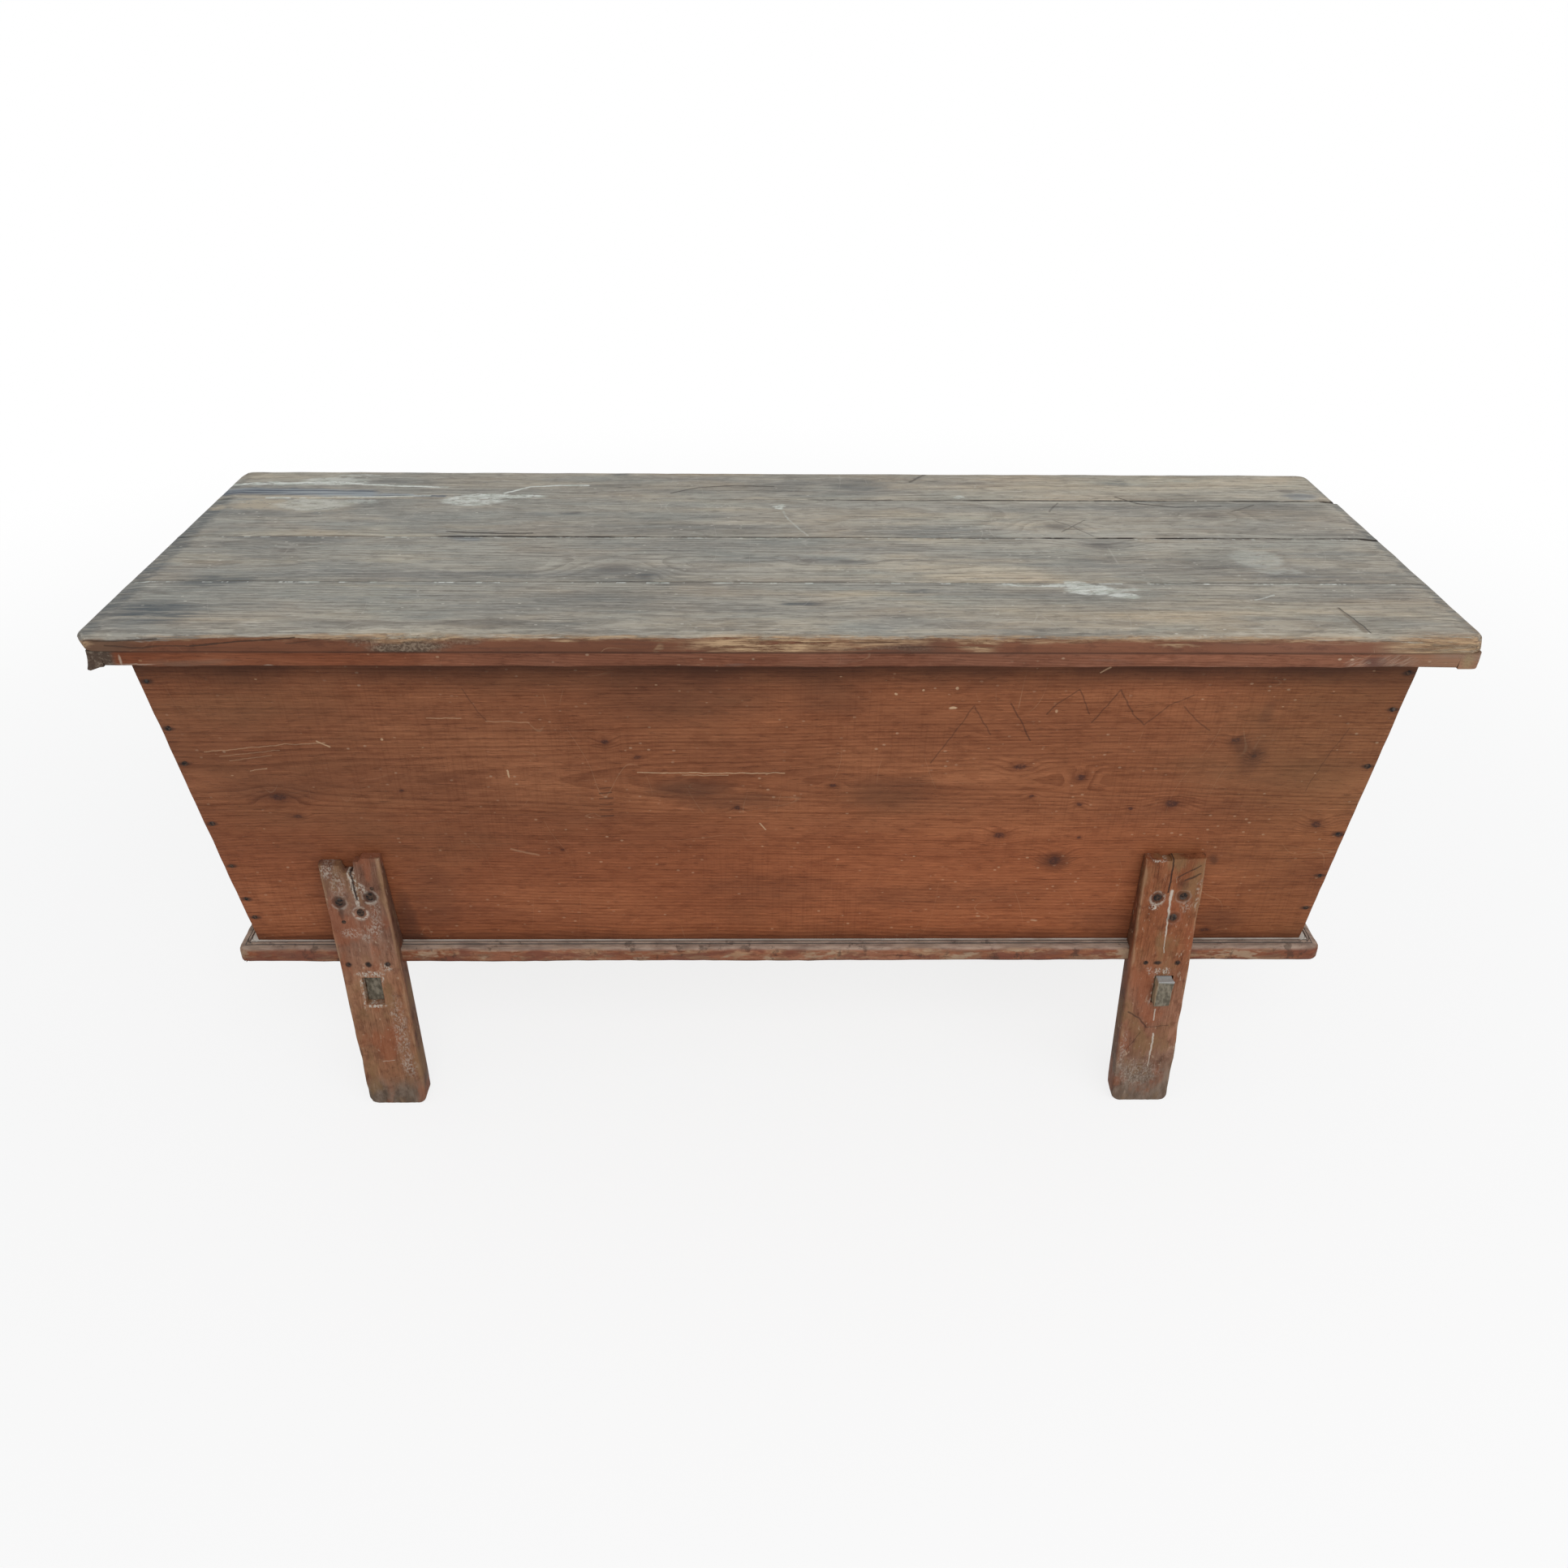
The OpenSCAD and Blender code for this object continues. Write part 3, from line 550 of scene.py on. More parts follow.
def lid_wood(name, pith, depth, drift, listed_knots, seed):
    """Grey weathered pine on top, the old red-brown stain on the edges, and bare wood where it is rubbed."""
    material, shader, place = new_material(name)
    x, y, z = parts(place)
    bend, core, halo = knots(shaken(place, 0.006, (40, 60, 0)), listed_knots)
    moved = vector_node("ADD", place, (seed, 0, -LID_TOP))
    rings = use(rings_group, Place=moved, Pith=pith, Depth=depth, Drift=drift, Spacing=0.0062, Waver=0.03, Field=bend)
    worked = use(handling_group, Place=moved)
    fine = noise(moved, (34, 800, 800), 3, 0.6)
    streak = noise(moved, (9, 210, 210), 4, 0.62)
    cloud = noise(moved, (3.4, 16, 16), 5, 0.62)
    band = noise(moved, (0.7, 21, 5), 3, 0.5)
    # The grey top, bluer to the left and warmer to the front and the back
    long = noise(moved, (1.4, 34, 5), 5, 0.6)
    grey = mix(fade(rings["Tone"], 0.3, 0.7), (0.3, 0.292, 0.26), (0.45, 0.422, 0.36))
    warm = most(fade(y, -0.14, -0.24, 0, 0.6), fade(y, 0.17, 0.22, 0, 0.65))
    warm = most(warm, fade(band, 0.42, 0.66, 0, 0.55))
    warm = times(warm, fade(cloud, 0.62, 0.4, 0.35, 1))
    grey = coats(grey,
        (warm, (0.45, 0.372, 0.272)),
        (fade(x, 0.1, -0.7, 0, 0.34), (0.27, 0.285, 0.27)))
    patchy = noise(moved, (6, 15, 5), 4, 0.55)
    grey = coats(grey,
        (fade(patchy, 0.5, 0.66, 0, 0.4), (0.27, 0.295, 0.275)),
        (fade(patchy, 0.48, 0.34, 0, 0.3), (0.4, 0.31, 0.225)),
        (fade(long, 0.5, 0.64, 0, 0.26), (0.2, 0.205, 0.2)),
        (fade(long, 0.46, 0.34, 0, 0.28), (0.52, 0.465, 0.375)),
        (fade(cloud, 0.5, 0.68, 0, 0.5), (0.18, 0.185, 0.18)),
        (fade(streak, 0.52, 0.64, 0, 0.3), (0.14, 0.125, 0.11)),
        (fade(streak, 0.46, 0.34, 0, 0.28), (0.56, 0.51, 0.43)),
        (fade(worked["Mottle"], 0.5, 0.64, 0, 0.45), (0.17, 0.155, 0.135)),
        (times(rings["Late"], 0.4), (0.13, 0.11, 0.09)),
        (fade(rings["Fibre"], 0.54, 0.66, 0, 0.7), (0.12, 0.105, 0.09)),
        (times(worked["Pore"], 0.5), (0.1, 0.09, 0.08)),
        (fade(fine, 0.55, 0.68, 0, 0.7), (0.6, 0.56, 0.49)))
    wide = noise(moved, (2.6, 12, 5), 4, 0.6)
    grey = tints(grey,
        (fade(wide, 0.47, 0.33), (0.74, 0.75, 0.77)),
        (fade(wide, 0.52, 0.66), (1.25, 1.2, 1.12)))
    # Painted light: the lid is brighter to the right, the side the light falls from. It is darker again at the front
    # right and brighter at the back right.
    painted_light_right = fade(x, 0.1, 0.4)
    grey = tint(painted_light_right, grey, (1.07, 1.06, 1.05))
    to_front = times(painted_light_right, fade(y, -0.08, -0.18))
    grey = tint(to_front, grey, (0.91, 0.9, 0.89))
    to_back = times(painted_light_right, fade(y, 0.1, 0.2))
    grey = tint(to_back, grey, (1.14, 1.13, 1.1))
    grey = coats(grey,
        (times(halo, 0.25), (0.21, 0.19, 0.165)),
        (times(core, 0.4), (0.12, 0.1, 0.09)))
    pale, beige, blue, dark, flap, cut = lid_marks(place)
    grained = fade(noise(moved, (14, 120, 120), 5, 0.65), 0.38, 0.6, 0.25, 1)
    grey = mix(times(dark, grained), grey, (0.075, 0.09, 0.1))
    flake = fade(noise(place, (70, 190, 1), 4, 0.7), 0.34, 0.5)
    streaky = fade(noise(place, (8, 240, 1), 4, 0.6), 0.4, 0.6)
    grey = coats(grey,
        (blue, mix(streaky, (0.095, 0.11, 0.135), (0.34, 0.37, 0.385))),
        (times(beige, flake), (0.48, 0.41, 0.31)),
        (times(pale, flake), mix(fade(worked["Mottle"], 0.38, 0.58), (0.46, 0.49, 0.43), (0.74, 0.76, 0.71))),
        (flap, (0.17, 0.135, 0.1)),
        (cut, (0.035, 0.028, 0.024)),
        (times(worked["Hair"], 0.2), (0.56, 0.53, 0.47)),
        (times(worked["Fleck"], 0.6), (0.6, 0.57, 0.5)))
    # How far down from the slab's upper edge: below zero on top, above zero on the side
    reach_x = minus(LID_EDGE_X, absolute(x))
    reach_y = minus(LID_EDGE_Y, absolute(y))
    reach = least(reach_x, reach_y)
    down = minus(minus(LID_TOP, z), reach)
    ragged = noise(place, (16, 60, 120), 4, 0.6)
    slow = noise(place, (4.5, 9, 9), 2, 0.5)
    brink = times_plus(minus(ragged, 0.5), 0.014, down)
    brink = minus(brink, fade(x, -0.6, -0.7, 0, 0.003))
    brink = minus(brink, fade(x, 0.58, 0.7, 0, 0.004))
    stain = mix(fade(rings["Tone"], 0.3, 0.7), (0.14, 0.055, 0.03), (0.21, 0.085, 0.047))
    stain = coats(stain,
        (fade(rings["Fibre"], 0.5, 0.72, 0, 0.6), (0.09, 0.042, 0.028)),
        (fade(slow, 0.55, 0.7, 0, 0.6), (0.085, 0.05, 0.036)),
        (times(worked["Hair"], 0.5), (0.45, 0.28, 0.17)),
        (fade(worked["Mottle"], 0.5, 0.65, 0, 0.5), (0.1, 0.04, 0.025)))
    # Darker to the left, as painted shade of the light falling from the right, and greyer and bluer to the right.
    stain = tints(stain,
        (fade(x, -0.3, -0.5), (0.8, 0.76, 0.72)),
        (fade(x, 0.35, 0.6), (1.0, 1.1, 1.22)))
    stain = mix(fade(x, -0.66, -0.73, 0, 0.6), stain, (0.13, 0.085, 0.055))
    layers = fade(noise(place, (60, 300, 520), 4, 0.65), 0.38, 0.62)
    stain = mix(fade(x, 0.62, 0.69, 0, 0.85), stain, mix(layers, (0.22, 0.165, 0.11), (0.37, 0.295, 0.205)))
    checks = times(fade(noise(place, (90, 90, 330), 4, 0.7), 0.55, 0.62), fade(x, 0.728, 0.742, 0, 0.85))
    stain = mix(checks, stain, (0.05, 0.035, 0.026))
    bare = mix(fade(noise(place, (22, 420, 420), 4, 0.7), 0.36, 0.6), (0.2, 0.115, 0.065), (0.43, 0.29, 0.17))
    bare = mix(fade(rings["Fibre"], 0.56, 0.66, 0, 0.8), bare, (0.1, 0.06, 0.04))
    colour = mix(fade(brink, 0.0005, 0.003), grey, stain)
    worn = times(fade(brink, -0.007, -0.001), fade(brink, 0.003, 0.0075, 1, 0))
    worn = product(worn, fade(slow, 0.36, 0.56, 0.1, 0.8),
        least(fade(x, -0.6, -0.46, 0.12, 1), fade(x, 0.5, 0.66, 1, 0.25)), fade(y, -0.2, -0.25, 0.3, 0.9),
        fade(noise(place, (70, 240, 240), 4, 0.7), 0.42, 0.54, 0.3, 1))
    # The torn stretches and the dark chip
    front = fade(y, -0.2, -0.25)
    tear, chip, split = edge_marks(place, down, front)
    splinter = fade(noise(place, (17, 210, 260), 5, 0.72), 0.38, 0.5)
    tear = times(tear, splinter)
    colour = coats(colour,
        (most(worn, tear), bare),
        (chip, mix(fade(noise(place, (300, 420, 480), 4, 0.7), 0.42, 0.64), (0.075, 0.052, 0.036),
            (0.21, 0.16, 0.115))),
        (split, (0.045, 0.026, 0.018)))
    # End grain and the underside stay brown
    under = fade(z, LID_TOP - 0.0185, LID_TOP - 0.0195)
    colour = mix(times(under, fade(reach, 0.003, 0.006)), colour,
        mix(fade(rings["Late"], 0, 1, 0, 0.5), (0.33, 0.21, 0.12), (0.2, 0.11, 0.06)))
    rough = plus(fade(rings["Fibre"], 0.2, 0.8, 0.62, 0.8), times(pale, -0.12))
    height = times_plus(rings["Late"], 0.5, times(fine, 0.5))
    height = raised(height,
        (rings["Fibre"], -0.9),
        (cut, -1.6),
        (most(tear, split), -1.2),
        (times(pale, flake), 0.5))
    lay(shader, colour, rough, height, 0.0009)
    return material


def lid_board(node, material, front=False, back=False):
    """One board of the slab: cut to length, round at the slab's corners, and rubbed along the slab's edge."""
    low, high = node_box[node]
    piece = block("worn_" + node, low, high)
    cut = LID_INSET - 0.002
    slice_at(0, (low.x + cut, high.x - cut))
    slice_at(1, (low.y + cut,) * front + (high.y - cut,) * back)
    outer = low.y if front else high.y
    if front or back:
        bevel(LID_ROUND, 6, lambda e, c: (
            runs(e, 2) and abs(c.y - outer) < 1e-4 and any(abs(c.x - end) < 1e-4 for end in (low.x, high.x))))
    for cuts in (20, 19 if front else 4):
        divide(0, cuts, low.x + LID_INSET, high.x - LID_INSET)
    divide(2, 5)
    divide(1, 5, low.y + (LID_INSET if front else -1), high.y - (LID_INSET if back else -1))

    def on_rim(e, c):
        ends = any(abs(c.x - end) < LID_ROUND + 0.0005 for end in (low.x, high.x))
        side = (front or back) and abs(c.y - outer) < LID_ROUND + 0.0005
        border = any(abs(f.normal.z) < 0.5 for f in e.link_faces)
        facing = any(abs(f.normal.y) > 0.98 and abs(f.calc_center_median().y - outer) > 0.02 for f in e.link_faces)
        return border and (ends or side) and not facing

    bevel(0.0045, 3, lambda e, c: abs(c.z - high.z) < 1e-5 and on_rim(e, c))
    bevel(0.0015, 1, lambda e, c: abs(c.z - low.z) < 1e-5 and on_rim(e, c))
    inner = [y for y in (low.y, high.y) if LID_EDGE_Y - abs(y) > 0.01]
    bevel(0.0012, 1, lambda e, c: (
        runs(e, 0) and abs(c.z - high.z) < 1e-5 and abs(c.x) < high.x - 0.01
        and any(abs(c.y - y) < 1e-5 for y in inner)))
    bpy.ops.object.mode_set(mode="OBJECT")

    def edge_share(p):
        inset = min(LID_EDGE_X - abs(p.x), LID_EDGE_Y - abs(p.y))
        return falloff(math.hypot(inset, LID_TOP - p.z), 0.011)

    def front_share(p):
        return falloff(math.hypot(p.y + LID_EDGE_Y, LID_TOP - p.z), 0.012)

    rub(piece, "edge", edge_share, 0.002, 0.03, 0.1, grain=(2.2, 0.6, 0.6))
    rub(piece, "fine", edge_share, 0.0012, 0.007, 0.2, grain=(1.6, 0.5, 0.5))
    if front:
        rub(piece, "brink", front_share, -0.0045, 0.03, 0, "Y", (2.2, 0.6, 0.6))
        rub(piece, "sunk", front_share, 0.0035, 0.03, 0, "Z", (2.2, 0.6, 0.6))
        rub(piece, "crumbs", front_share, -0.003, 0.006, 0, "Y", (1.6, 0.5, 0.5))

    # The slab's right end is worn back towards its upper edge, and its left end at both edges
    def end_share(p, side):
        return falloff(LID_EDGE_X - side * p.x, 0.02)

    push(piece, "right_end", "X", -0.0032, lambda p: end_share(p, 1) * falloff(LID_TOP - p.z, 0.018))
    push(piece, "left_end", "X", 0.0036, lambda p: (
        end_share(p, -1) * ((LID_TOP - p.z) / 0.01 - 0.6) ** 2 * (0.5 + 0.5 * held((-0.2 - p.y) / 0.05))))
    push(piece, "drop", "Z", -0.003, lambda p: (
        falloff(LID_EDGE_X - abs(p.x), 0.016) ** 2 * (p.z > LID_TOP - 0.006)))
    if front:
        rub(piece, "torn", lambda p: (
            falloff(abs(p.x + 0.008), 0.1) * (p.y < -LID_EDGE_Y + 0.003) * (p.z > low.z + 0.002)),
            -0.0045, 0.006, 0, "Y", grain=(5, 1, 0.35))
        rub(piece, "chip", lambda p: (
            falloff(((p.x + 0.4) / 0.045) ** 2, 1) * falloff(((p.z - LID_TOP + 0.007) / 0.009) ** 2, 1)
            * (p.y < -LID_EDGE_Y + 0.008)), -0.008, 0.012, 0, "Y")
    done(piece, material, "lid_wood", "lid", node)
    return piece


lid_board("lid_board_front", lid_wood("lid_pine_front", -0.24, 0.05, 0.012, [(0.032, -0.19, 0.006, 2.4)], 0.0),
    front=True)
lid_board("lid_board_second", lid_wood("lid_pine_second", -0.07, 0.025, -0.02, [
    (-0.2, -0.085, 0.013, 1.7), (-0.162, -0.108, 0.006, 1.6), (0.031, -0.06, 0.006, 2), (0.076, -0.06, 0.006, 2),
    (0.393, -0.01, 0.012, 1.5), (-0.6, -0.03, 0.008, 1.6)], 3.1))
lid_board("lid_board_third", lid_wood("lid_pine_third", 0.11, 0.04, 0.018, [
    (0.35, 0.06, 0.01, 1.5), (-0.27, 0.104, 0.004, 2), (0.56, 0.1, 0.008, 1.8)], 7.7))
lid_board("lid_board_back", lid_wood("lid_pine_back", 0.27, 0.045, -0.015, [
    (0.695, 0.2, 0.006, 2), (0.19, 0.25, 0.005, 1.6)], 12.4), back=True)


# The strips of stained pine nailed under the slab's edge, which drop over the trough's rim. The end
# strips run through to the front and show their end grain there. The left one is thicker and worn to a hook.
def stained(name, tones, marks=None, listed_knots=(), pith=0.0, depth=0.05, drift=0.02, spacing=0.0042, axes="XYZ",
        seed=0.0, line=0.55, waver=0.02):
    """Old pine under a red-brown stain. tones are its dark, middle and light colours, and axes names the
    object's axes that run along the grain, across the board and through it."""
    material, shader, place = new_material(name)
    spot = parts(place)
    flat = joined(*(spot["XYZ".index(a)] for a in axes))
    mapped = vector_node("ADD", flat, (seed, 0, 0))
    bend, core, halo = knots(shaken(shaken(flat, 0.005, (60, 90, 0)), 0.003, (260, 340, 0)), listed_knots)
    rings = use(rings_group, Place=mapped, Pith=pith, Depth=depth, Drift=drift, Spacing=spacing, Waver=waver,
        Field=bend)
    worked = use(handling_group, Place=mapped)
    fine = noise(mapped, (34, 1000, 1000), 3, 0.6)
    cloud = noise(mapped, (4, 11, 11), 5, 0.6)
    colour = mix(fade(rings["Tone"], 0.25, 0.75), tones[0], tones[1])
    colour = mix(fade(cloud, 0.4, 0.75), colour, tones[2])
    colour = tints(colour,
        (fade(worked["Mottle"], 0.46, 0.66, 0, 0.6), (0.7, 0.62, 0.58)),
        (times(rings["Late"], line), (0.6, 0.52, 0.48)),
        (fade(rings["Fibre"], 0.54, 0.7, 0, 0.7), (0.62, 0.56, 0.52)),
        (fade(fine, 0.52, 0.72), (1.4, 1.45, 1.5)),
        (times(worked["Pore"], 0.55), (0.5, 0.44, 0.42)))
    colour = coats(colour,
        (times(worked["Hair"], 0.22), (0.42, 0.26, 0.15)),
        (times(worked["Fleck"], 0.5), (0.46, 0.3, 0.19)))
    colour = tint(times(halo, 0.5), colour, (0.5, 0.42, 0.42))
    uneven = fade(noise(mapped, (320, 420, 420), 3, 0.65), 0.36, 0.56, 0.4, 0.9)
    colour = mix(times(core, uneven), colour, (0.055, 0.021, 0.016))
    rough = fade(rings["Fibre"], 0.2, 0.8, 0.55, 0.72)
    height = times_plus(rings["Fibre"], -0.6, times(fine, 0.3))
    height = raised(height,
        (rings["Late"], 0.55),
        (worked["Pore"], -0.6))
    if marks:
        colour, rough, height = marks(place, colour, rough, height)
    lay(shader, colour, rough, height, 0.0006)
    return material


STRIP_TONES = ((0.165, 0.055, 0.027), (0.225, 0.08, 0.041), (0.27, 0.11, 0.062))


def strip_marks(place, colour, rough, height):
    """Pale scars along the strips' lower edge, grey dirt, and dark end grain at the corners."""
    x, y, z = parts(place)
    scar = fade(noise(place, (24, 90, 260), 4, 0.65), 0.66, 0.74)
    low = fade(z, 0.684, 0.676)
    colour = mix(times(scar, low), colour, (0.46, 0.31, 0.19))
    grey = fade(noise(place, (7, 30, 40), 3), 0.56, 0.72, 0, 0.55)
    colour = mix(grey, colour, (0.17, 0.115, 0.09))
    front = fade(y, -0.24, -0.25)
    # Redder to the left, darker in the middle and greyer to the right. The darker left and brighter right are partly
    # painted light, falling from the right.
    colour = tints(colour,
        (fade(x, -0.25, -0.5), (0.93, 0.85, 0.74)),
        (fade(absolute(x), 0.45, 0.25), (0.86, 0.92, 0.98)),
        (fade(x, 0.3, 0.6), (1.2, 1.42, 1.6)))
    face = joined(x, z)
    slant = times_plus(z, -1.3, x)
    knocked = patches(shaken(face, 0.01, (60, 90, 0)), [
        (0.617, 0.683, 0.011, 0.007, 0.6), (0.661, 0.685, 0.018, 0.008, 0.6)], 0.6)
    knocked = times(knocked, fade(noise(joined(slant, z), (330, 60, 0), 4, 0.7), 0.42, 0.62))
    knocked = most(knocked, patches(shaken(face, 0.003, (120, 120, 0)), [
        (-0.7085, 0.684, 0.0013, 0.0065, 0.8), (-0.692, 0.6795, 0.018, 0.0008, 0.6),
        (-0.554, 0.678, 0.005, 0.0012, 0.7)], 0.4))
    bruise = patches(shaken(face, 0.006, (60, 60, 0)), [
        (0.637, 0.684, 0.014, 0.006, 0.65), (0.663, 0.684, 0.018, 0.008, 0.3)], 0.4)
    colour = coats(colour,
        (times(bruise, front), (0.085, 0.042, 0.036)),
        (times(knocked, front), (0.38, 0.28, 0.21)))
    seam = fade(z, 0.692, 0.6945, 0, 0.7)
    colour = mix(seam, colour, (0.05, 0.026, 0.018))
    # The hooked toe at the left is dark and greenish, and the right end pale
    toe = times(fade(x, -0.711, -0.72), front)
    colour = mix(times(toe, 0.9), colour,
        mix(fade(noise(place, (260, 260, 320), 4, 0.65), 0.46, 0.68), (0.06, 0.045, 0.033), (0.18, 0.145, 0.11)))
    pale = times(fade(x, 0.62, 0.72, 0, 0.5), front)
    colour = mix(pale, colour, (0.27, 0.17, 0.105))
    end = patches(shaken(face, 0.006, (90, 90, 0)), [(0.737, 0.685, 0.006, 0.008, 0.5)], 0.8)
    colour = mix(times(end, front), colour, (0.27, 0.215, 0.115))
    return colour, rough, height


def strip(node, length_axis, material):
    """One strip of the apron, its outer lower edge worn, and the left one's front end worn to a hook."""
    low, high = node_box[node]
    piece = block("worn_" + node, low, high)
    other = 1 - length_axis
    face = high[other] if (low + high)[other] > 0 else low[other]
    if length_axis == 1:
        # An end strip's lower outer edge and its outer corners are worn round
        bevel(0.0045, 4, lambda e, c: abs(c.x - face) < 1e-5 and c.z < high.z - 1e-5)
        for axis, cuts in ((1, 80), (2, 8), (0, 5)):
            slice_at(axis, [low[axis] + (high[axis] - low[axis]) * (i + 1) / (cuts + 1) for i in range(cuts)])
    else:
        divide(0, 100)
        divide(2, 3)
        divide(1, 3)
        bevel(0.0022, 3, lambda e, c: abs(c.z - low.z) < 1e-5 and abs(c.y - face) < 1e-5)
    bpy.ops.object.mode_set(mode="OBJECT")

    def outer(p):
        return falloff(math.hypot(p[other] - face, p.z - low.z), 0.009)

    rub(piece, "edge", outer, 0.0015 if node == "lid_strip_right" else 0.004, 0.025, 0.12, grain=(2, 2, 0.5))
    if node == "lid_strip_left":
        # Its front end is worn to a hook: cut in below the slab, and raised behind the toe
        rise = high.z - low.z

        def toe(p):
            return held((low.y + 0.045 - p.y) / 0.03)

        push(piece, "hook", "X", 0.009, lambda p: (
            toe(p) * falloff(p.x - low.x, 0.02) * (1 - 0.7 * ((high.z - p.z) / rise) ** 3)))
        push(piece, "heel", "Z", 0.0045, lambda p: (
            toe(p) * held((p.x - low.x - 0.01) / 0.012) * falloff(p.z - low.z, 0.012)))
    if node == "lid_strip_right":
        push(piece, "front_end", "X", -0.0025, lambda p: falloff(p.y - low.y, 0.03) * falloff(high.x - p.x, 0.02))
    done(piece, material, "stained_wood", "lid", node)
    return piece


strip_pine = stained("strip_pine", STRIP_TONES, strip_marks, pith=0.02, depth=0.1, spacing=0.0032, seed=0.4)
end_strip_pine = stained("end_strip_pine", STRIP_TONES, strip_marks, pith=0.4, depth=0.6, spacing=0.0035, axes="YXZ",
    seed=0.9)
strip("lid_strip_front", 0, strip_pine)
strip("lid_strip_back", 0, strip_pine)
strip("lid_strip_left", 1, end_strip_pine)
strip("lid_strip_right", 1, end_strip_pine)


# Two battens of bare pine across the lid's underside, with their ends cut back, hold its boards flat.
def batten_marks(place, colour, rough, height):
    """Flour and grey dust on the batten's lower face."""
    dust = fade(noise(place, (30, 22, 30), 4), 0.5, 0.68, 0, 0.5)
    return mix(dust, colour, (0.5, 0.45, 0.38)), rough, height


batten_pine = stained("batten_pine", ((0.24, 0.14, 0.075), (0.34, 0.21, 0.115), (0.44, 0.3, 0.18)), batten_marks,
    axes="YXZ", pith=0.42, depth=0.03, line=0.4)
for node in ("lid_batten_left", "lid_batten_right"):
    low, high = node_box[node]
    batten = block("planed_" + node, low, high)
    bevel(0.008, 1, lambda e, c: runs(e, 0) and c.z < low.z + 1e-4)
    divide(1, 40)
    bevel(0.002, 2, lambda e, c: runs(e, 1) and c.z < low.z + 1e-4)
    bpy.ops.object.mode_set(mode="OBJECT")
    rub(batten, "all", lambda p: float(p.z < low.z + 0.004), 0.0012, 0.03, 0.5)
    done(batten, batten_pine, "bare_wood", "lid", node)


# The trough's walls: two stained boards each, edge to edge. The front and back lean out and cover the
# edges of the ends, to which they are nailed. Their outer corners are a little worn and chipped.
WALL_TAN = math.tan(math.radians(6))
# Each end's lean and the place of its rim. The left end leans more.
END_TAN = {-1: math.tan(math.radians(5.9)), 1: math.tan(math.radians(4.3))}
RIM_X = {-1: 0.719, 1: 0.706}
RIM_Y, RIM_Z, JOINT_Z = 0.242, 0.695, 0.47
FLOURY = ((0.3, 0.19, 0.11), (0.46, 0.35, 0.24))
BODY_TONES = ((0.205, 0.072, 0.032), (0.255, 0.09, 0.038), (0.31, 0.118, 0.052))
CORNER_NAILS = [(sign * (RIM_X[sign] - (RIM_Z - z) * END_TAN[sign] - 0.009), z)
    for sign, zs in ((-1, (0.642, 0.579, 0.53, 0.441, 0.375, 0.321, 0.29)),
    (1, (0.655, 0.606, 0.526, 0.424, 0.357, 0.303))) for z in zs]


def within_ends(x, z):
    """Where a board of the front or the back is past its end grain, which is stained like its face."""
    drop = minus(RIM_Z, z)
    gaps = [minus(RIM_X[sign], times_plus(drop, END_TAN[sign], times(x, sign))) for sign in (-1, 1)]
    return fade(least(*gaps), 0.004, 0.006)


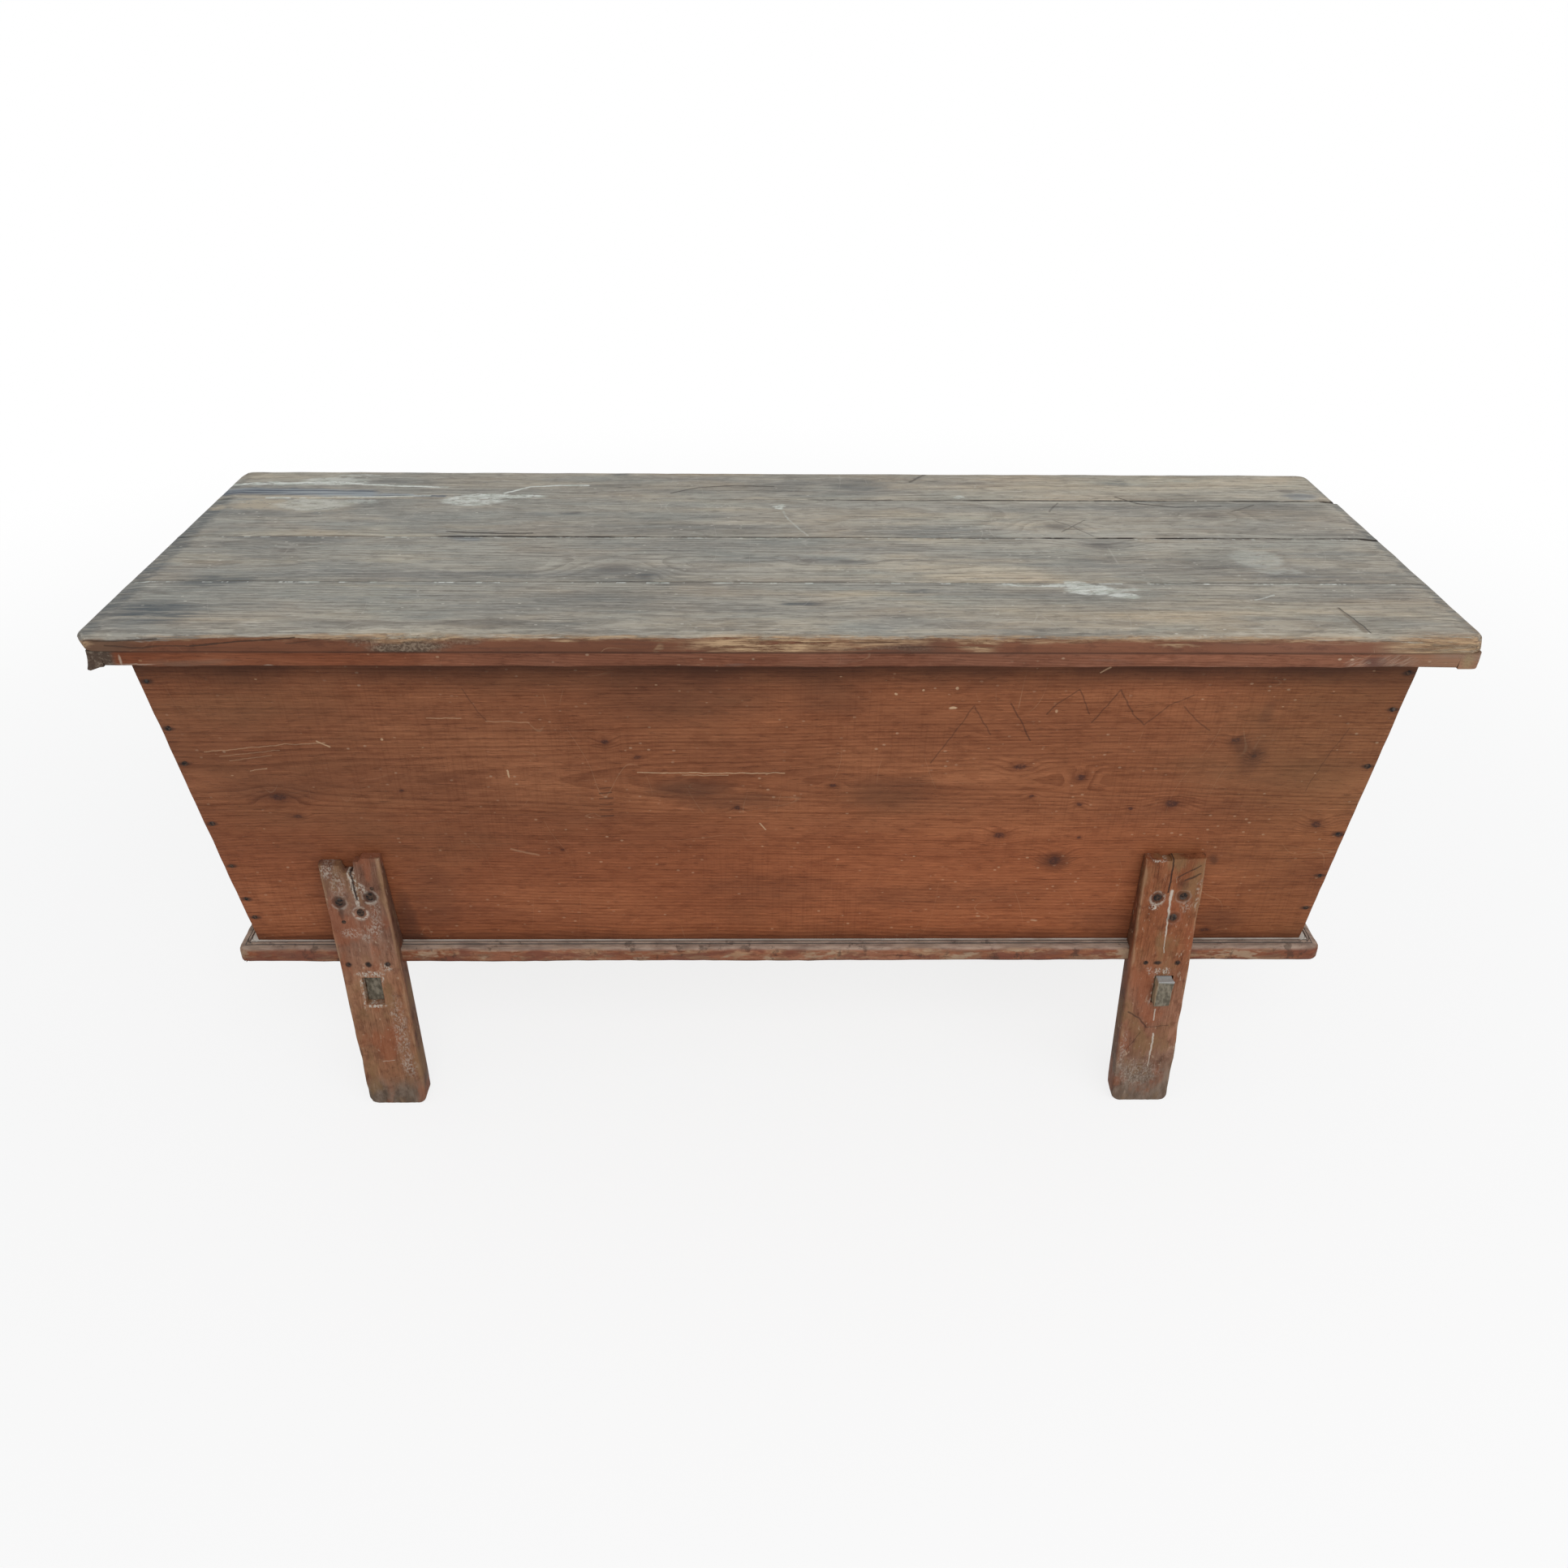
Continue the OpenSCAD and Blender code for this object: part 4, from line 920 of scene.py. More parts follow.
def front_marks(place, colour, rough, height):
    """What a century of kitchen work left on the front: stains, knocks, scratches and a scribed zigzag."""
    x, y, z = parts(place)
    face = joined(x, z, y)
    ragged = shaken(face, 0.02, (34, 44, 0))
    fine = shaken(face, 0.0045, (70, 70, 0))
    front = fade(y, -0.19, -0.194)
    dark = patches(ragged, [
        (-0.112, 0.492, 0.045, 0.015, 0.55), (-0.06, 0.474, 0.06, 0.012, 0.35), (-0.12, 0.62, 0.09, 0.03, 0.3),
        (0.05, 0.62, 0.04, 0.02, 0.25), (0.53, 0.556, 0.014, 0.01, 0.4), (0.545, 0.54, 0.016, 0.02, 0.4),
        (0.548, 0.6, 0.008, 0.02, 0.25), (0.335, 0.382, 0.02, 0.012, 0.4), (0.56, 0.28, 0.03, 0.02, 0.3),
        # The first two patches below, right of the left leg, are painted shadow.
        (-0.476, 0.285, 0.012, 0.045, 0.5), (-0.474, 0.252, 0.016, 0.014, 0.6), (0.532, 0.383, 0.006, 0.008, 0.5),
        (-0.44, 0.32, 0.03, 0.05, 0.25), (0.42, 0.28, 0.05, 0.02, 0.25), (-0.6, 0.49, 0.05, 0.015, 0.2),
        (0.13, 0.49, 0.05, 0.02, 0.25), (-0.02, 0.34, 0.08, 0.02, 0.2), (0.2, 0.325, 0.12, 0.02, 0.2)], 0.6)
    dark = most(dark, patches(fine, [(x, z, 0.007, 0.0032, 0.75) for x, z in CORNER_NAILS], 0.5))
    dark = most(dark, strokes(fine, [
        ([(-0.218, z), (-0.204, z + 0.001)], 0.0016, share)
        for z, share in ((0.494, 0.5), (0.486, 0.65), (0.478, 0.55), (0.469, 0.4), (0.461, 0.45), (0.452, 0.6))]))
    dark = most(dark, strokes(fine, [
        ([(0.255, 0.613), (0.27, 0.588), (0.282, 0.562)], 0.0012, 0.55),
        ([(0.17, 0.531), (0.195, 0.575), (0.213, 0.61), (0.236, 0.571)], 0.0011, 0.45),
        ([(0.297, 0.599), (0.305, 0.612), (0.33, 0.632), (0.345, 0.6)], 0.0011, 0.5),
        ([(0.35, 0.588), (0.376, 0.632), (0.395, 0.6), (0.41, 0.585)], 0.0012, 0.5),
        ([(0.41, 0.585), (0.435, 0.612), (0.46, 0.625)], 0.0011, 0.45),
        ([(0.452, 0.61), (0.47, 0.59), (0.487, 0.577)], 0.0011, 0.45),
        ([(-0.36, 0.633), (-0.345, 0.6), (-0.338, 0.59)], 0.0009, 0.4),
        ([(0.62, 0.49), (0.63, 0.53), (0.648, 0.58)], 0.0008, 0.35)]))
    pale = strokes(fine, [
        ([(-0.172, 0.517), (-0.08, 0.516), (0.0, 0.5165)], 0.0009, 0.75),
        ([(-0.12, 0.513), (-0.066, 0.513)], 0.0007, 0.6), ([(-0.405, 0.594), (-0.366, 0.593)], 0.0009, 0.4),
        ([(-0.339, 0.589), (-0.29, 0.588)], 0.0009, 0.3),
        ([(-0.667, 0.546), (-0.572, 0.557), (-0.526, 0.559)], 0.0008, 0.4),
        ([(-0.65, 0.54), (-0.58, 0.549)], 0.0007, 0.3), ([(-0.64, 0.534), (-0.59, 0.541)], 0.0007, 0.3),
        ([(-0.534, 0.561), (-0.522, 0.553)], 0.0013, 0.7), ([(-0.332, 0.401), (-0.3, 0.392)], 0.002, 0.25),
        ([(-0.323, 0.52), (-0.322, 0.51)], 0.0014, 0.8), ([(-0.029, 0.441), (-0.022, 0.431)], 0.0012, 0.7),
        ([(0.35, 0.655), (0.36, 0.662)], 0.0012, 0.6), ([(-0.62, 0.52), (-0.6, 0.523)], 0.0008, 0.5)])
    pale = most(pale, patches(fine, [
        (0.19, 0.607, 0.0045, 0.0016, 0.9), (0.124, 0.626, 0.0016, 0.0016, 0.8), (0.192, 0.634, 0.0018, 0.0018, 0.7),
        (0.154, 0.631, 0.0014, 0.0014, 0.7), (-0.46, 0.565, 0.0016, 0.0016, 0.7), (0.307, 0.604, 0.0016, 0.002, 0.6),
        (0.322, 0.282, 0.004, 0.0014, 0.5), (0.249, 0.289, 0.003, 0.0012, 0.5)], 0.3))
    fleck = fade(cells(face, (34, 70, 0)), 0.03, 0.075, 1, 0)
    fleck = times(fleck, fade(noise(face, (9, 9, 0)), 0.42, 0.6, 0, 0.5))
    # Painted shade, with some dirt, darkens the wall under the lid and along the foot of the wall where it meets the
    # lip; the shade beside the left leg is among the dark patches above.
    shade_and_grime = fade(times_plus(noise(face, (7, 14, 0), 4), 0.05, z), 0.65, 0.7, 0, 0.95)
    shade_and_grime = most(shade_and_grime, fade(times_plus(noise(face, (12, 20, 0), 4), -0.03, z), 0.255, 0.238, 0, 0.4))
    green = fade(noise(face, (2.6, 6, 0), 4), 0.5, 0.72, 0, 0.3)
    colour = mix(green, colour, (0.17, 0.088, 0.042))
    # Darker and browner to the left, as painted shade of the light falling from the right; redder towards the bottom,
    # with faint upright marks of a scrubbing brush.
    colour = tints(colour,
        (fade(x, 0.25, -0.5), (0.87, 0.9, 0.94)),
        (fade(z, 0.5, 0.36), (1.12, 0.99, 0.92)),
        (fade(x, 0.45, 0.62), (0.84, 0.91, 0.89)))
    brush = times(fade(noise(face, (330, 11, 0), 3, 0.6), 0.5, 0.62, 0, 0.36),
        fade(noise(face, (3, 5, 0), 2), 0.4, 0.6))
    colour = tint(brush, colour, (0.76, 0.7, 0.68))
    colour = coats(colour,
        (times(shade_and_grime, front), (0.06, 0.022, 0.012)),
        (times(dark, front), (0.032, 0.015, 0.011)),
        (times(most(pale, fleck), front), (0.5, 0.33, 0.2)))
    height = times_plus(pale, -0.8, height)
    # Inside, the boards were never stained: they are pale, and grey from flour
    inner = fade(times_plus(z, WALL_TAN, y), -0.149, -0.1475)
    inner = times(inner, within_ends(x, z))
    colour = mix(inner, colour, mix(fade(noise(face, (5, 12, 0), 5), 0.3, 0.7), *FLOURY))
    return colour, rough, height


def plain_marks(axis):
    """The hidden walls' finish: stain outside with flecks, painted shade with some dirt under the lid, and pale
    floury wood inside.
    """
    def marks(place, colour, rough, height):
        x, y, z = parts(place)
        # Painted shade, with some dirt, under the lid.
        shade_and_grime = fade(times_plus(noise(place, (9, 9, 14), 4), 0.08, z), 0.67, 0.72, 0, 0.6)
        colour = coats(colour,
            (shade_and_grime, (0.06, 0.025, 0.014)),
            (fade(cells(place, (40, 40, 80)), 0.03, 0.08, 0.5, 0), (0.45, 0.3, 0.18)))
        drop = minus(RIM_Z, z)
        outs = [times_plus(drop, END_TAN[sign] if axis == 0 else WALL_TAN,
            times_plus((x, y)[axis], sign, -RIM_X[sign] if axis == 0 else -RIM_Y)) for sign in (-1, 1)]
        inner = fade(most(*outs), -0.019, -0.021)
        if axis == 1:
            inner = times(inner, within_ends(x, z))
        colour = mix(inner, colour, mix(fade(noise(place, (6, 6, 12), 5), 0.3, 0.7), *FLOURY))
        return colour, rough, height
    return marks


def wall_board(node, material, axis, sign):
    """One board of a wall. axis is the axis it leans along, and sign the way."""
    low, high = node_box[node]
    rise = high.z - low.z
    along = 1 - axis
    lean = WALL_TAN if axis == 1 else END_TAN[sign]
    slants = (END_TAN[-1], END_TAN[1]) if axis == 1 else (WALL_TAN, WALL_TAN)
    near, far = list(low), list(high)
    if sign < 0:
        near[axis] = low[axis] + rise * lean
    else:
        far[axis] = high[axis] - rise * lean
    near[along], far[along] = low[along] + rise * slants[0], high[along] - rise * slants[1]
    piece = block("stained_" + node, near, far)
    for end, slant in ((-1, slants[0]), (1, slants[1])):
        choose("verts", lambda v, c: c.z > (low.z + high.z) / 2 and c[along] * end > 0)
        shift = [0, 0, 0]
        shift[axis], shift[along] = sign * rise * lean, end * rise * slant
        bpy.ops.transform.translate(value=shift)
    divide(along, 100 if axis == 1 else 50)
    divide(2, 14)
    outer = (low if sign < 0 else high)[axis]

    def outside(p):
        return abs(p[axis] - (outer - sign * (high.z - p.z) * lean)) < 0.001

    def end_gap(p):
        down = high.z - p.z
        return min(p[along] - low[along] - down * slants[0], high[along] - down * slants[1] - p[along])

    def reach(p):
        return min(high.z - p.z, p.z - low.z, end_gap(p))

    bevel(0.0009, 2, lambda e, c: outside(c) and (
        reach(c) < 0.0005 and abs(c.z - JOINT_Z) > 0.02 or runs(e, 2) and reach(c) < 0.004))
    bpy.ops.object.mode_set(mode="OBJECT")
    rub(piece, "face", lambda p: outside(p) * min(1, reach(p) / 0.02), 0.0022, 0.16, 0.5, grain=(2.5, 1, 1))
    rub(piece, "arris", lambda p: falloff(reach(p), 0.004) * (end_gap(p) < 0.004), 0.002, 0.02, 0.45)
    done(piece, material, "stained_wood", "trough", node)


upper_pine = stained("front_upper_pine", BODY_TONES, front_marks, [
    (-0.206, 0.561, 0.0042, 1.2), (-0.17, 0.539, 0.0022, 2), (-0.056, 0.465, 0.003, 1.3),
    (-0.596, 0.481, 0.0046, 2.4), (0.275, 0.525, 0.0045, 1.9), (0.349, 0.51, 0.005, 1.3), (0.294, 0.482, 0.002, 1.4),
    (0.353, 0.47, 0.0028, 1.4), (0.415, 0.463, 0.0024, 1.6), (0.464, 0.471, 0.0055, 1.8), (0.547, 0.541, 0.004, 0.8),
    (0.52, 0.563, 0.003, 1.8), (0.058, 0.498, 0.0025, 2), (-0.45, 0.49, 0.002, 1.5)], pith=0.5, depth=0.262,
    drift=-0.028, spacing=0.0044, axes="XZY", seed=0.0, line=0.7)
lower_pine = stained("front_lower_pine", BODY_TONES, front_marks, [
    (0.262, 0.422, 0.0048, 1.7), (0.335, 0.382, 0.0075, 1.15), (0.36, 0.419, 0.0022, 1.2),
    (0.646, 0.439, 0.0055, 1.4), (0.679, 0.422, 0.004, 1.4), (0.545, 0.265, 0.003, 2.4), (-0.58, 0.452, 0.003, 2),
    (-0.27, 0.4, 0.002, 1.2)], pith=0.1, depth=0.36, drift=0.01, spacing=0.0034, axes="XZY", seed=4.3, line=0.62)
back_upper = stained("back_upper_pine", BODY_TONES, plain_marks(1), [
    (0.3, 0.6, 0.006, 1.4), (-0.42, 0.52, 0.005, 1.7), (0.05, 0.63, 0.003, 1.5)], pith=0.58, depth=-0.17, drift=0.02,
    axes="XZY", seed=9.1)
back_lower = stained("back_lower_pine", BODY_TONES, plain_marks(1),
    [(-0.2, 0.35, 0.006, 1.5), (0.45, 0.4, 0.005, 1.4)], pith=0.3, depth=-0.14, drift=-0.02, axes="XZY", seed=13.7)
end_upper = stained("end_upper_pine", BODY_TONES, plain_marks(0), [(0.1, 0.6, 0.005, 1.5), (-0.12, 0.53, 0.004, 1.6)],
    pith=0.62, depth=0.05, axes="YZX", seed=2.2)
end_lower = stained("end_lower_pine", BODY_TONES, plain_marks(0), [(-0.06, 0.38, 0.006, 1.3)], pith=0.33, depth=0.03,
    axes="YZX", seed=6.6)
for wall, upper, lower, axis, sign in (
        ("front", upper_pine, lower_pine, 1, -1), ("back", back_upper, back_lower, 1, 1),
        ("left_end", end_upper, end_lower, 0, -1), ("right_end", end_upper, end_lower, 0, 1)):
    wall_board(wall + "_upper_board", upper, axis, sign)
    wall_board(wall + "_lower_board", lower, axis, sign)


# The bottom: two boards nailed up under the walls, planed to a moulded lip all round, with a rounded nose
# and two fine grooves beside the wall. Dust has greyed the lip's top, and knocks have worn its nose.
def lip_marks(place, colour, rough, height):
    """Grey dust on the lip's top, worn patches on its nose, and bare wood inside the trough."""
    x, y, z = parts(place)
    ragged = noise(place, (10, 30, 90), 4)
    up = times_plus(minus(ragged, 0.5), 0.006, z)
    dust = fade(up, 0.2435, 0.2475, 0, 0.85)
    grey = mix(fade(noise(place, (30, 150, 150), 5, 0.65), 0.35, 0.65), (0.22, 0.173, 0.14), (0.42, 0.327, 0.26))
    colour = mix(dust, colour, grey)
    worn = times(fade(noise(place, (34, 34, 90), 5, 0.65), 0.46, 0.6), 0.8)
    worn = times(worn, minus(1, dust))
    colour = mix(worn, colour, mix(fade(ragged, 0.4, 0.6), (0.34, 0.2, 0.115), (0.17, 0.09, 0.055)))
    blotch = noise(place, (20, 20, 60), 4, 0.6)
    off = minus(1, dust)
    colour = coats(colour,
        (times(fade(blotch, 0.52, 0.6, 0, 0.7), off), (0.15, 0.05, 0.032)),
        (times(fade(blotch, 0.47, 0.39, 0, 0.65), off), (0.37, 0.27, 0.18)))
    dark = times(fade(noise(place, (60, 60, 50), 5, 0.65), 0.56, 0.66), 0.6)
    colour = mix(dark, colour, (0.05, 0.03, 0.022))
    inset = least(minus(nose_y, absolute(y)), minus(nose_x, absolute(minus(x, centre[0]))))
    top = fade(z, 0.246, 0.247)
    # Painted shade in the moulding's two grooves, which are too fine to shade themselves.
    groove = most(*(fade(absolute(minus(inset, at)), 0.0011, 0.0005) for at in (0.01, 0.0141)))
    colour = mix(times(times(groove, top), 0.75), colour, (0.05, 0.05, 0.05))
    beside = times(fade(inset, 0.0152, 0.0158), top)
    beside = times(beside, fade(noise(place, (20, 20, 20), 3), 0.35, 0.6, 0.35, 0.85))
    colour = mix(beside, colour, (0.56, 0.53, 0.48))
    low = fade(z, 0.2312, 0.2285, 0, 0.7)
    colour = mix(low, colour, (0.05, 0.022, 0.015))
    inside = times(fade(absolute(y), 0.178, 0.176), fade(absolute(x), 0.655, 0.652))
    bare = mix(fade(noise(place, (5, 14, 1), 5), 0.3, 0.7), (0.3, 0.2, 0.12), (0.5, 0.4, 0.29))
    return mix(inside, colour, bare), plus(rough, 0.08), height


low, high = node_box["bottom_board_front"][0], node_box["bottom_board_back"][1]
NOSE, STEP = 0.007, 0.0015
lip = block("moulded_bottom", low, (high.x, high.y, high.z - STEP - NOSE))
bevel(0.014, 6, lambda e, c: runs(e, 2))
divide(0, 100)
divide(1, 50)
bevel(0.002, 2, lambda e, c: c.z < low.z + 1e-5 and any(abs(f.normal.z) < 0.5 for f in e.link_faces))
# The moulding, from the edge inwards: the nose, a step, and two grooves, as (inset, depth below the top)
angles = [math.radians(18 * i) for i in range(1, 6)]
moulding = [(NOSE * (1 - math.cos(a)), STEP + NOSE * (1 - math.sin(a))) for a in angles]
moulding += [(0.0094, 0.0012), (0.0098, 0.0021), (0.0103, 0.0021), (0.0107, 0.0005), (0.0116, 0), (0.0134, 0),
    (0.0138, 0.0011), (0.0143, 0.0011), (0.0147, 0), (0.0165, 0)]
choose("faces", lambda f, c: f.normal.z > 0.9 and c.z > high.z - STEP - NOSE - 1e-4)
before, level = 0, high.z - STEP - NOSE
centre = ((low.x + high.x) / 2, 0, 0)
nose_y, nose_x = -low.y, (high.x - low.x) / 2
for inset, below in moulding:
    extrude((0, 0, high.z - below - level))
    bpy.ops.transform.resize(value=((nose_x - inset) / (nose_x - before), (nose_y - inset) / (nose_y - before), 1),
        center_override=centre)
    before, level = inset, high.z - below
bpy.ops.object.mode_set(mode="OBJECT")


def on_nose(p):
    out = min(nose_x - abs(p.x - centre[0]), nose_y - abs(p.y))
    return falloff(out, 0.008)


rub(lip, "nose", on_nose, 0.003, 0.045, 0.4, grain=(2.5, 1, 1))
rub(lip, "chips", on_nose, 0.0016, 0.01, 0.5, grain=(1.5, 1, 0.6))
bottom_pine = stained("bottom_pine", ((0.17, 0.06, 0.03), (0.24, 0.085, 0.042), (0.3, 0.13, 0.075)), lip_marks, [
    (-0.3, -0.1, 0.006, 1.5), (0.4, 0.12, 0.007, 1.4)], pith=0.05, depth=-0.2, seed=5.5)
joint = node_box["bottom_board_front"][1].y
for node, keep_low in (("bottom_board_front", True), ("bottom_board_back", False)):
    board = lip.copy()
    board.data = lip.data.copy()
    board.name = board.data.name = "moulded_" + node
    bpy.context.scene.collection.objects.link(board)
    pick(board)
    bpy.ops.object.mode_set(mode="EDIT")
    bpy.ops.mesh.select_all(action="SELECT")
    edge = joint if keep_low else node_box["bottom_board_back"][0].y
    bpy.ops.mesh.bisect(plane_co=(0, edge, 0), plane_no=(0, 1, 0), use_fill=True, clear_outer=keep_low,
        clear_inner=not keep_low)
    bpy.ops.object.mode_set(mode="OBJECT")
    done(board, bottom_pine, "stained_wood", "trough", node)
bpy.data.objects.remove(lip)


# The four legs: pine planks nailed flat on the front and back, notched round the lip and splayed a little.
# The front left one has split at the top and lost a wedge. Their feet are round and grey from mopped floors.
SPLAY = math.tan(math.radians(1.5))
FACE_Y, LIP_Y, WALL_Y = 0.2277, -node_box["bottom_board_front"][0].y, 0.1954
LEG_TONES = ((0.18, 0.075, 0.04), (0.27, 0.112, 0.056), (0.35, 0.165, 0.09))
BIG_NAILS = {"left": [(-0.024, 0.082), (0.015, 0.09), (0.0, 0.066)],
    "right": [(-0.02, 0.087), (0.012, 0.089), (0.004, 0.057)]}
SMALL_NAILS = {"left": [-0.027, -0.002, 0.022], "right": [-0.02, -0.005, 0.021]}
LEG_X = {"left": -0.524, "right": 0.486}
RAIL_X = {"left": -0.526, "right": 0.493}
# The legs lean a little sideways, with their tops towards the left
LEAN = math.tan(math.radians(1.3))
FOOT_HALF, TOP_HALF, THICK, ABOVE = 0.0385, 0.038, 0.03, 0.144
FLOOR_Z, UNDER_Z, TENON_Z, BRAD_Z = 0.25, 0.228, 0.193, 0.2359
# Width and height of a rail and its tenon, and half of those of the mortise
RAIL, TENON, HOLE = (0.03, 0.06), (0.024, 0.044), (0.0121, 0.0221)
# How far a leg's cut faces stand off the bottom and the wall
AIR = 0.0001


def leg_marks(side, cracks, paint, dark_spots, scars):
    """Worn tan edges, white traces, nail stains, cracks and the grey wet foot of one leg."""
    def marks(place, colour, rough, height):
        x, y, z = parts(place)
        face = joined(x, z, y)
        fine = shaken(face, 0.004, (90, 90, 0))
        ragged = shaken(face, 0.016, (60, 50, 0))
        upright = times_plus(minus(z, TENON_Z), LEAN, x)
        from_mid = absolute(minus(upright, LEG_X[side]))
        width = times_plus(z, (TOP_HALF - FOOT_HALF) / (FLOOR_Z + ABOVE), FOOT_HALF)
        edge = minus(width, from_mid)
        face_out = times_plus(minus(FLOOR_Z, z), SPLAY, FACE_Y)
        inward = minus(face_out, absolute(y))
        near = plus(most(edge, 0.0), most(inward, 0.0))
        chew = times(minus(noise(place, (60, 60, 22), 4), 0.5), 0.014)
        top, low = ((0.7, 0.8, 0.98), (1.05, 1.17, 1.2)) if side == "left" else ((0.92, 0.76, 0.62),
            (1.0, 1.04, 1.16))
        colour = tints(colour,
            (fade(z, 0.19, 0.28), top),
            (fade(z, 0.25, 0.16), low))
        rubbed = fade(plus(near, chew), 0.0045, 0.0012, 0, 0.6)
        colour = mix(rubbed, colour, mix(noise(place, (90, 90, 20), 3), (0.25, 0.13, 0.07), (0.42, 0.27, 0.16)))
        # Painted shade: the side faces are darker.
        side_shade = times(fade(inward, 0.004, 0.009), fade(edge, 0.004, 0.001, 0, 0.55))
        colour = mix(side_shade, colour, (0.07, 0.032, 0.02))
        # Mopping has greyed the foot
        wet = fade(times_plus(noise(place, (30, 30, 16), 4), 0.05, z),
            *((0.08, 0.04, 0, 0.85) if side == "left" else (0.15, 0.05, 0, 0.8)))
        colour = mix(wet, colour,
            mix(fade(noise(place, (120, 120, 40), 4), 0.35, 0.65), (0.1, 0.08, 0.06), (0.2, 0.16, 0.125)))
        blot = fade(noise(place, (70, 70, 50), 5, 0.7), 0.5, 0.64, 0, 0.65)
        colour = tint(blot, colour, (0.55, 0.47, 0.46))
        hue = noise(place, (26, 26, 12), 4)
        colour = coats(colour,
            (fade(hue, 0.5, 0.64, 0, 0.6), (0.22, 0.125, 0.058)),
            (fade(hue, 0.48, 0.36, 0, 0.5), (0.27, 0.082, 0.036)))
        white = most(patches(ragged, [p for p in paint if p[4] < 0.85], 0.5),
            patches(fine, [p for p in paint if p[4] >= 0.85], 0.3))
        rims = list(zip(BIG_NAILS[side], (0.5, 0.8, 0.9) if side == "left" else (0.95, 0.3, 0.12)))
        rim = minus(patches(fine, [
            (LEG_X[side] + dx, FLOOR_Z + dz - 0.001, 0.0096, 0.0098, share) for (dx, dz), share in rims], 0.25),
            patches(fine,
            [(LEG_X[side] + dx - 0.0006, FLOOR_Z + dz, 0.0078, 0.0076, 1.0) for (dx, dz), share in rims], 0.2))
        crumb = noise(place, (420, 420, 260), 4, 0.7)
        white = most(times(white, fade(crumb, 0.46, 0.58)),
            times(rim, fade(noise(place, (150, 150, 150), 3, 0.7), 0.38, 0.52)))
        white = most(white, strokes(fine, scars))
        colour = mix(white, colour, (0.5, 0.44, 0.37))
        scuff = fade(noise(place, (230, 230, 90), 4, 0.65), 0.6, 0.68)
        scuff = times(scuff, fade(noise(place, (18, 18, 11), 3), 0.42, 0.6, 0.1, 0.9))
        colour = mix(times(scuff, 0.75), colour, (0.42, 0.3, 0.21))
        shade = patches(fine, dark_spots, 0.35)
        crack = strokes(fine, cracks)
        shade = most(shade, crack)
        colour = mix(shade, colour, (0.028, 0.016, 0.013))
        height = times_plus(crack, -2.0, height)
        height = times_plus(white, 0.5, times_plus(blot, -0.5, height))
        return colour, plus(rough, 0.06), height
    return marks


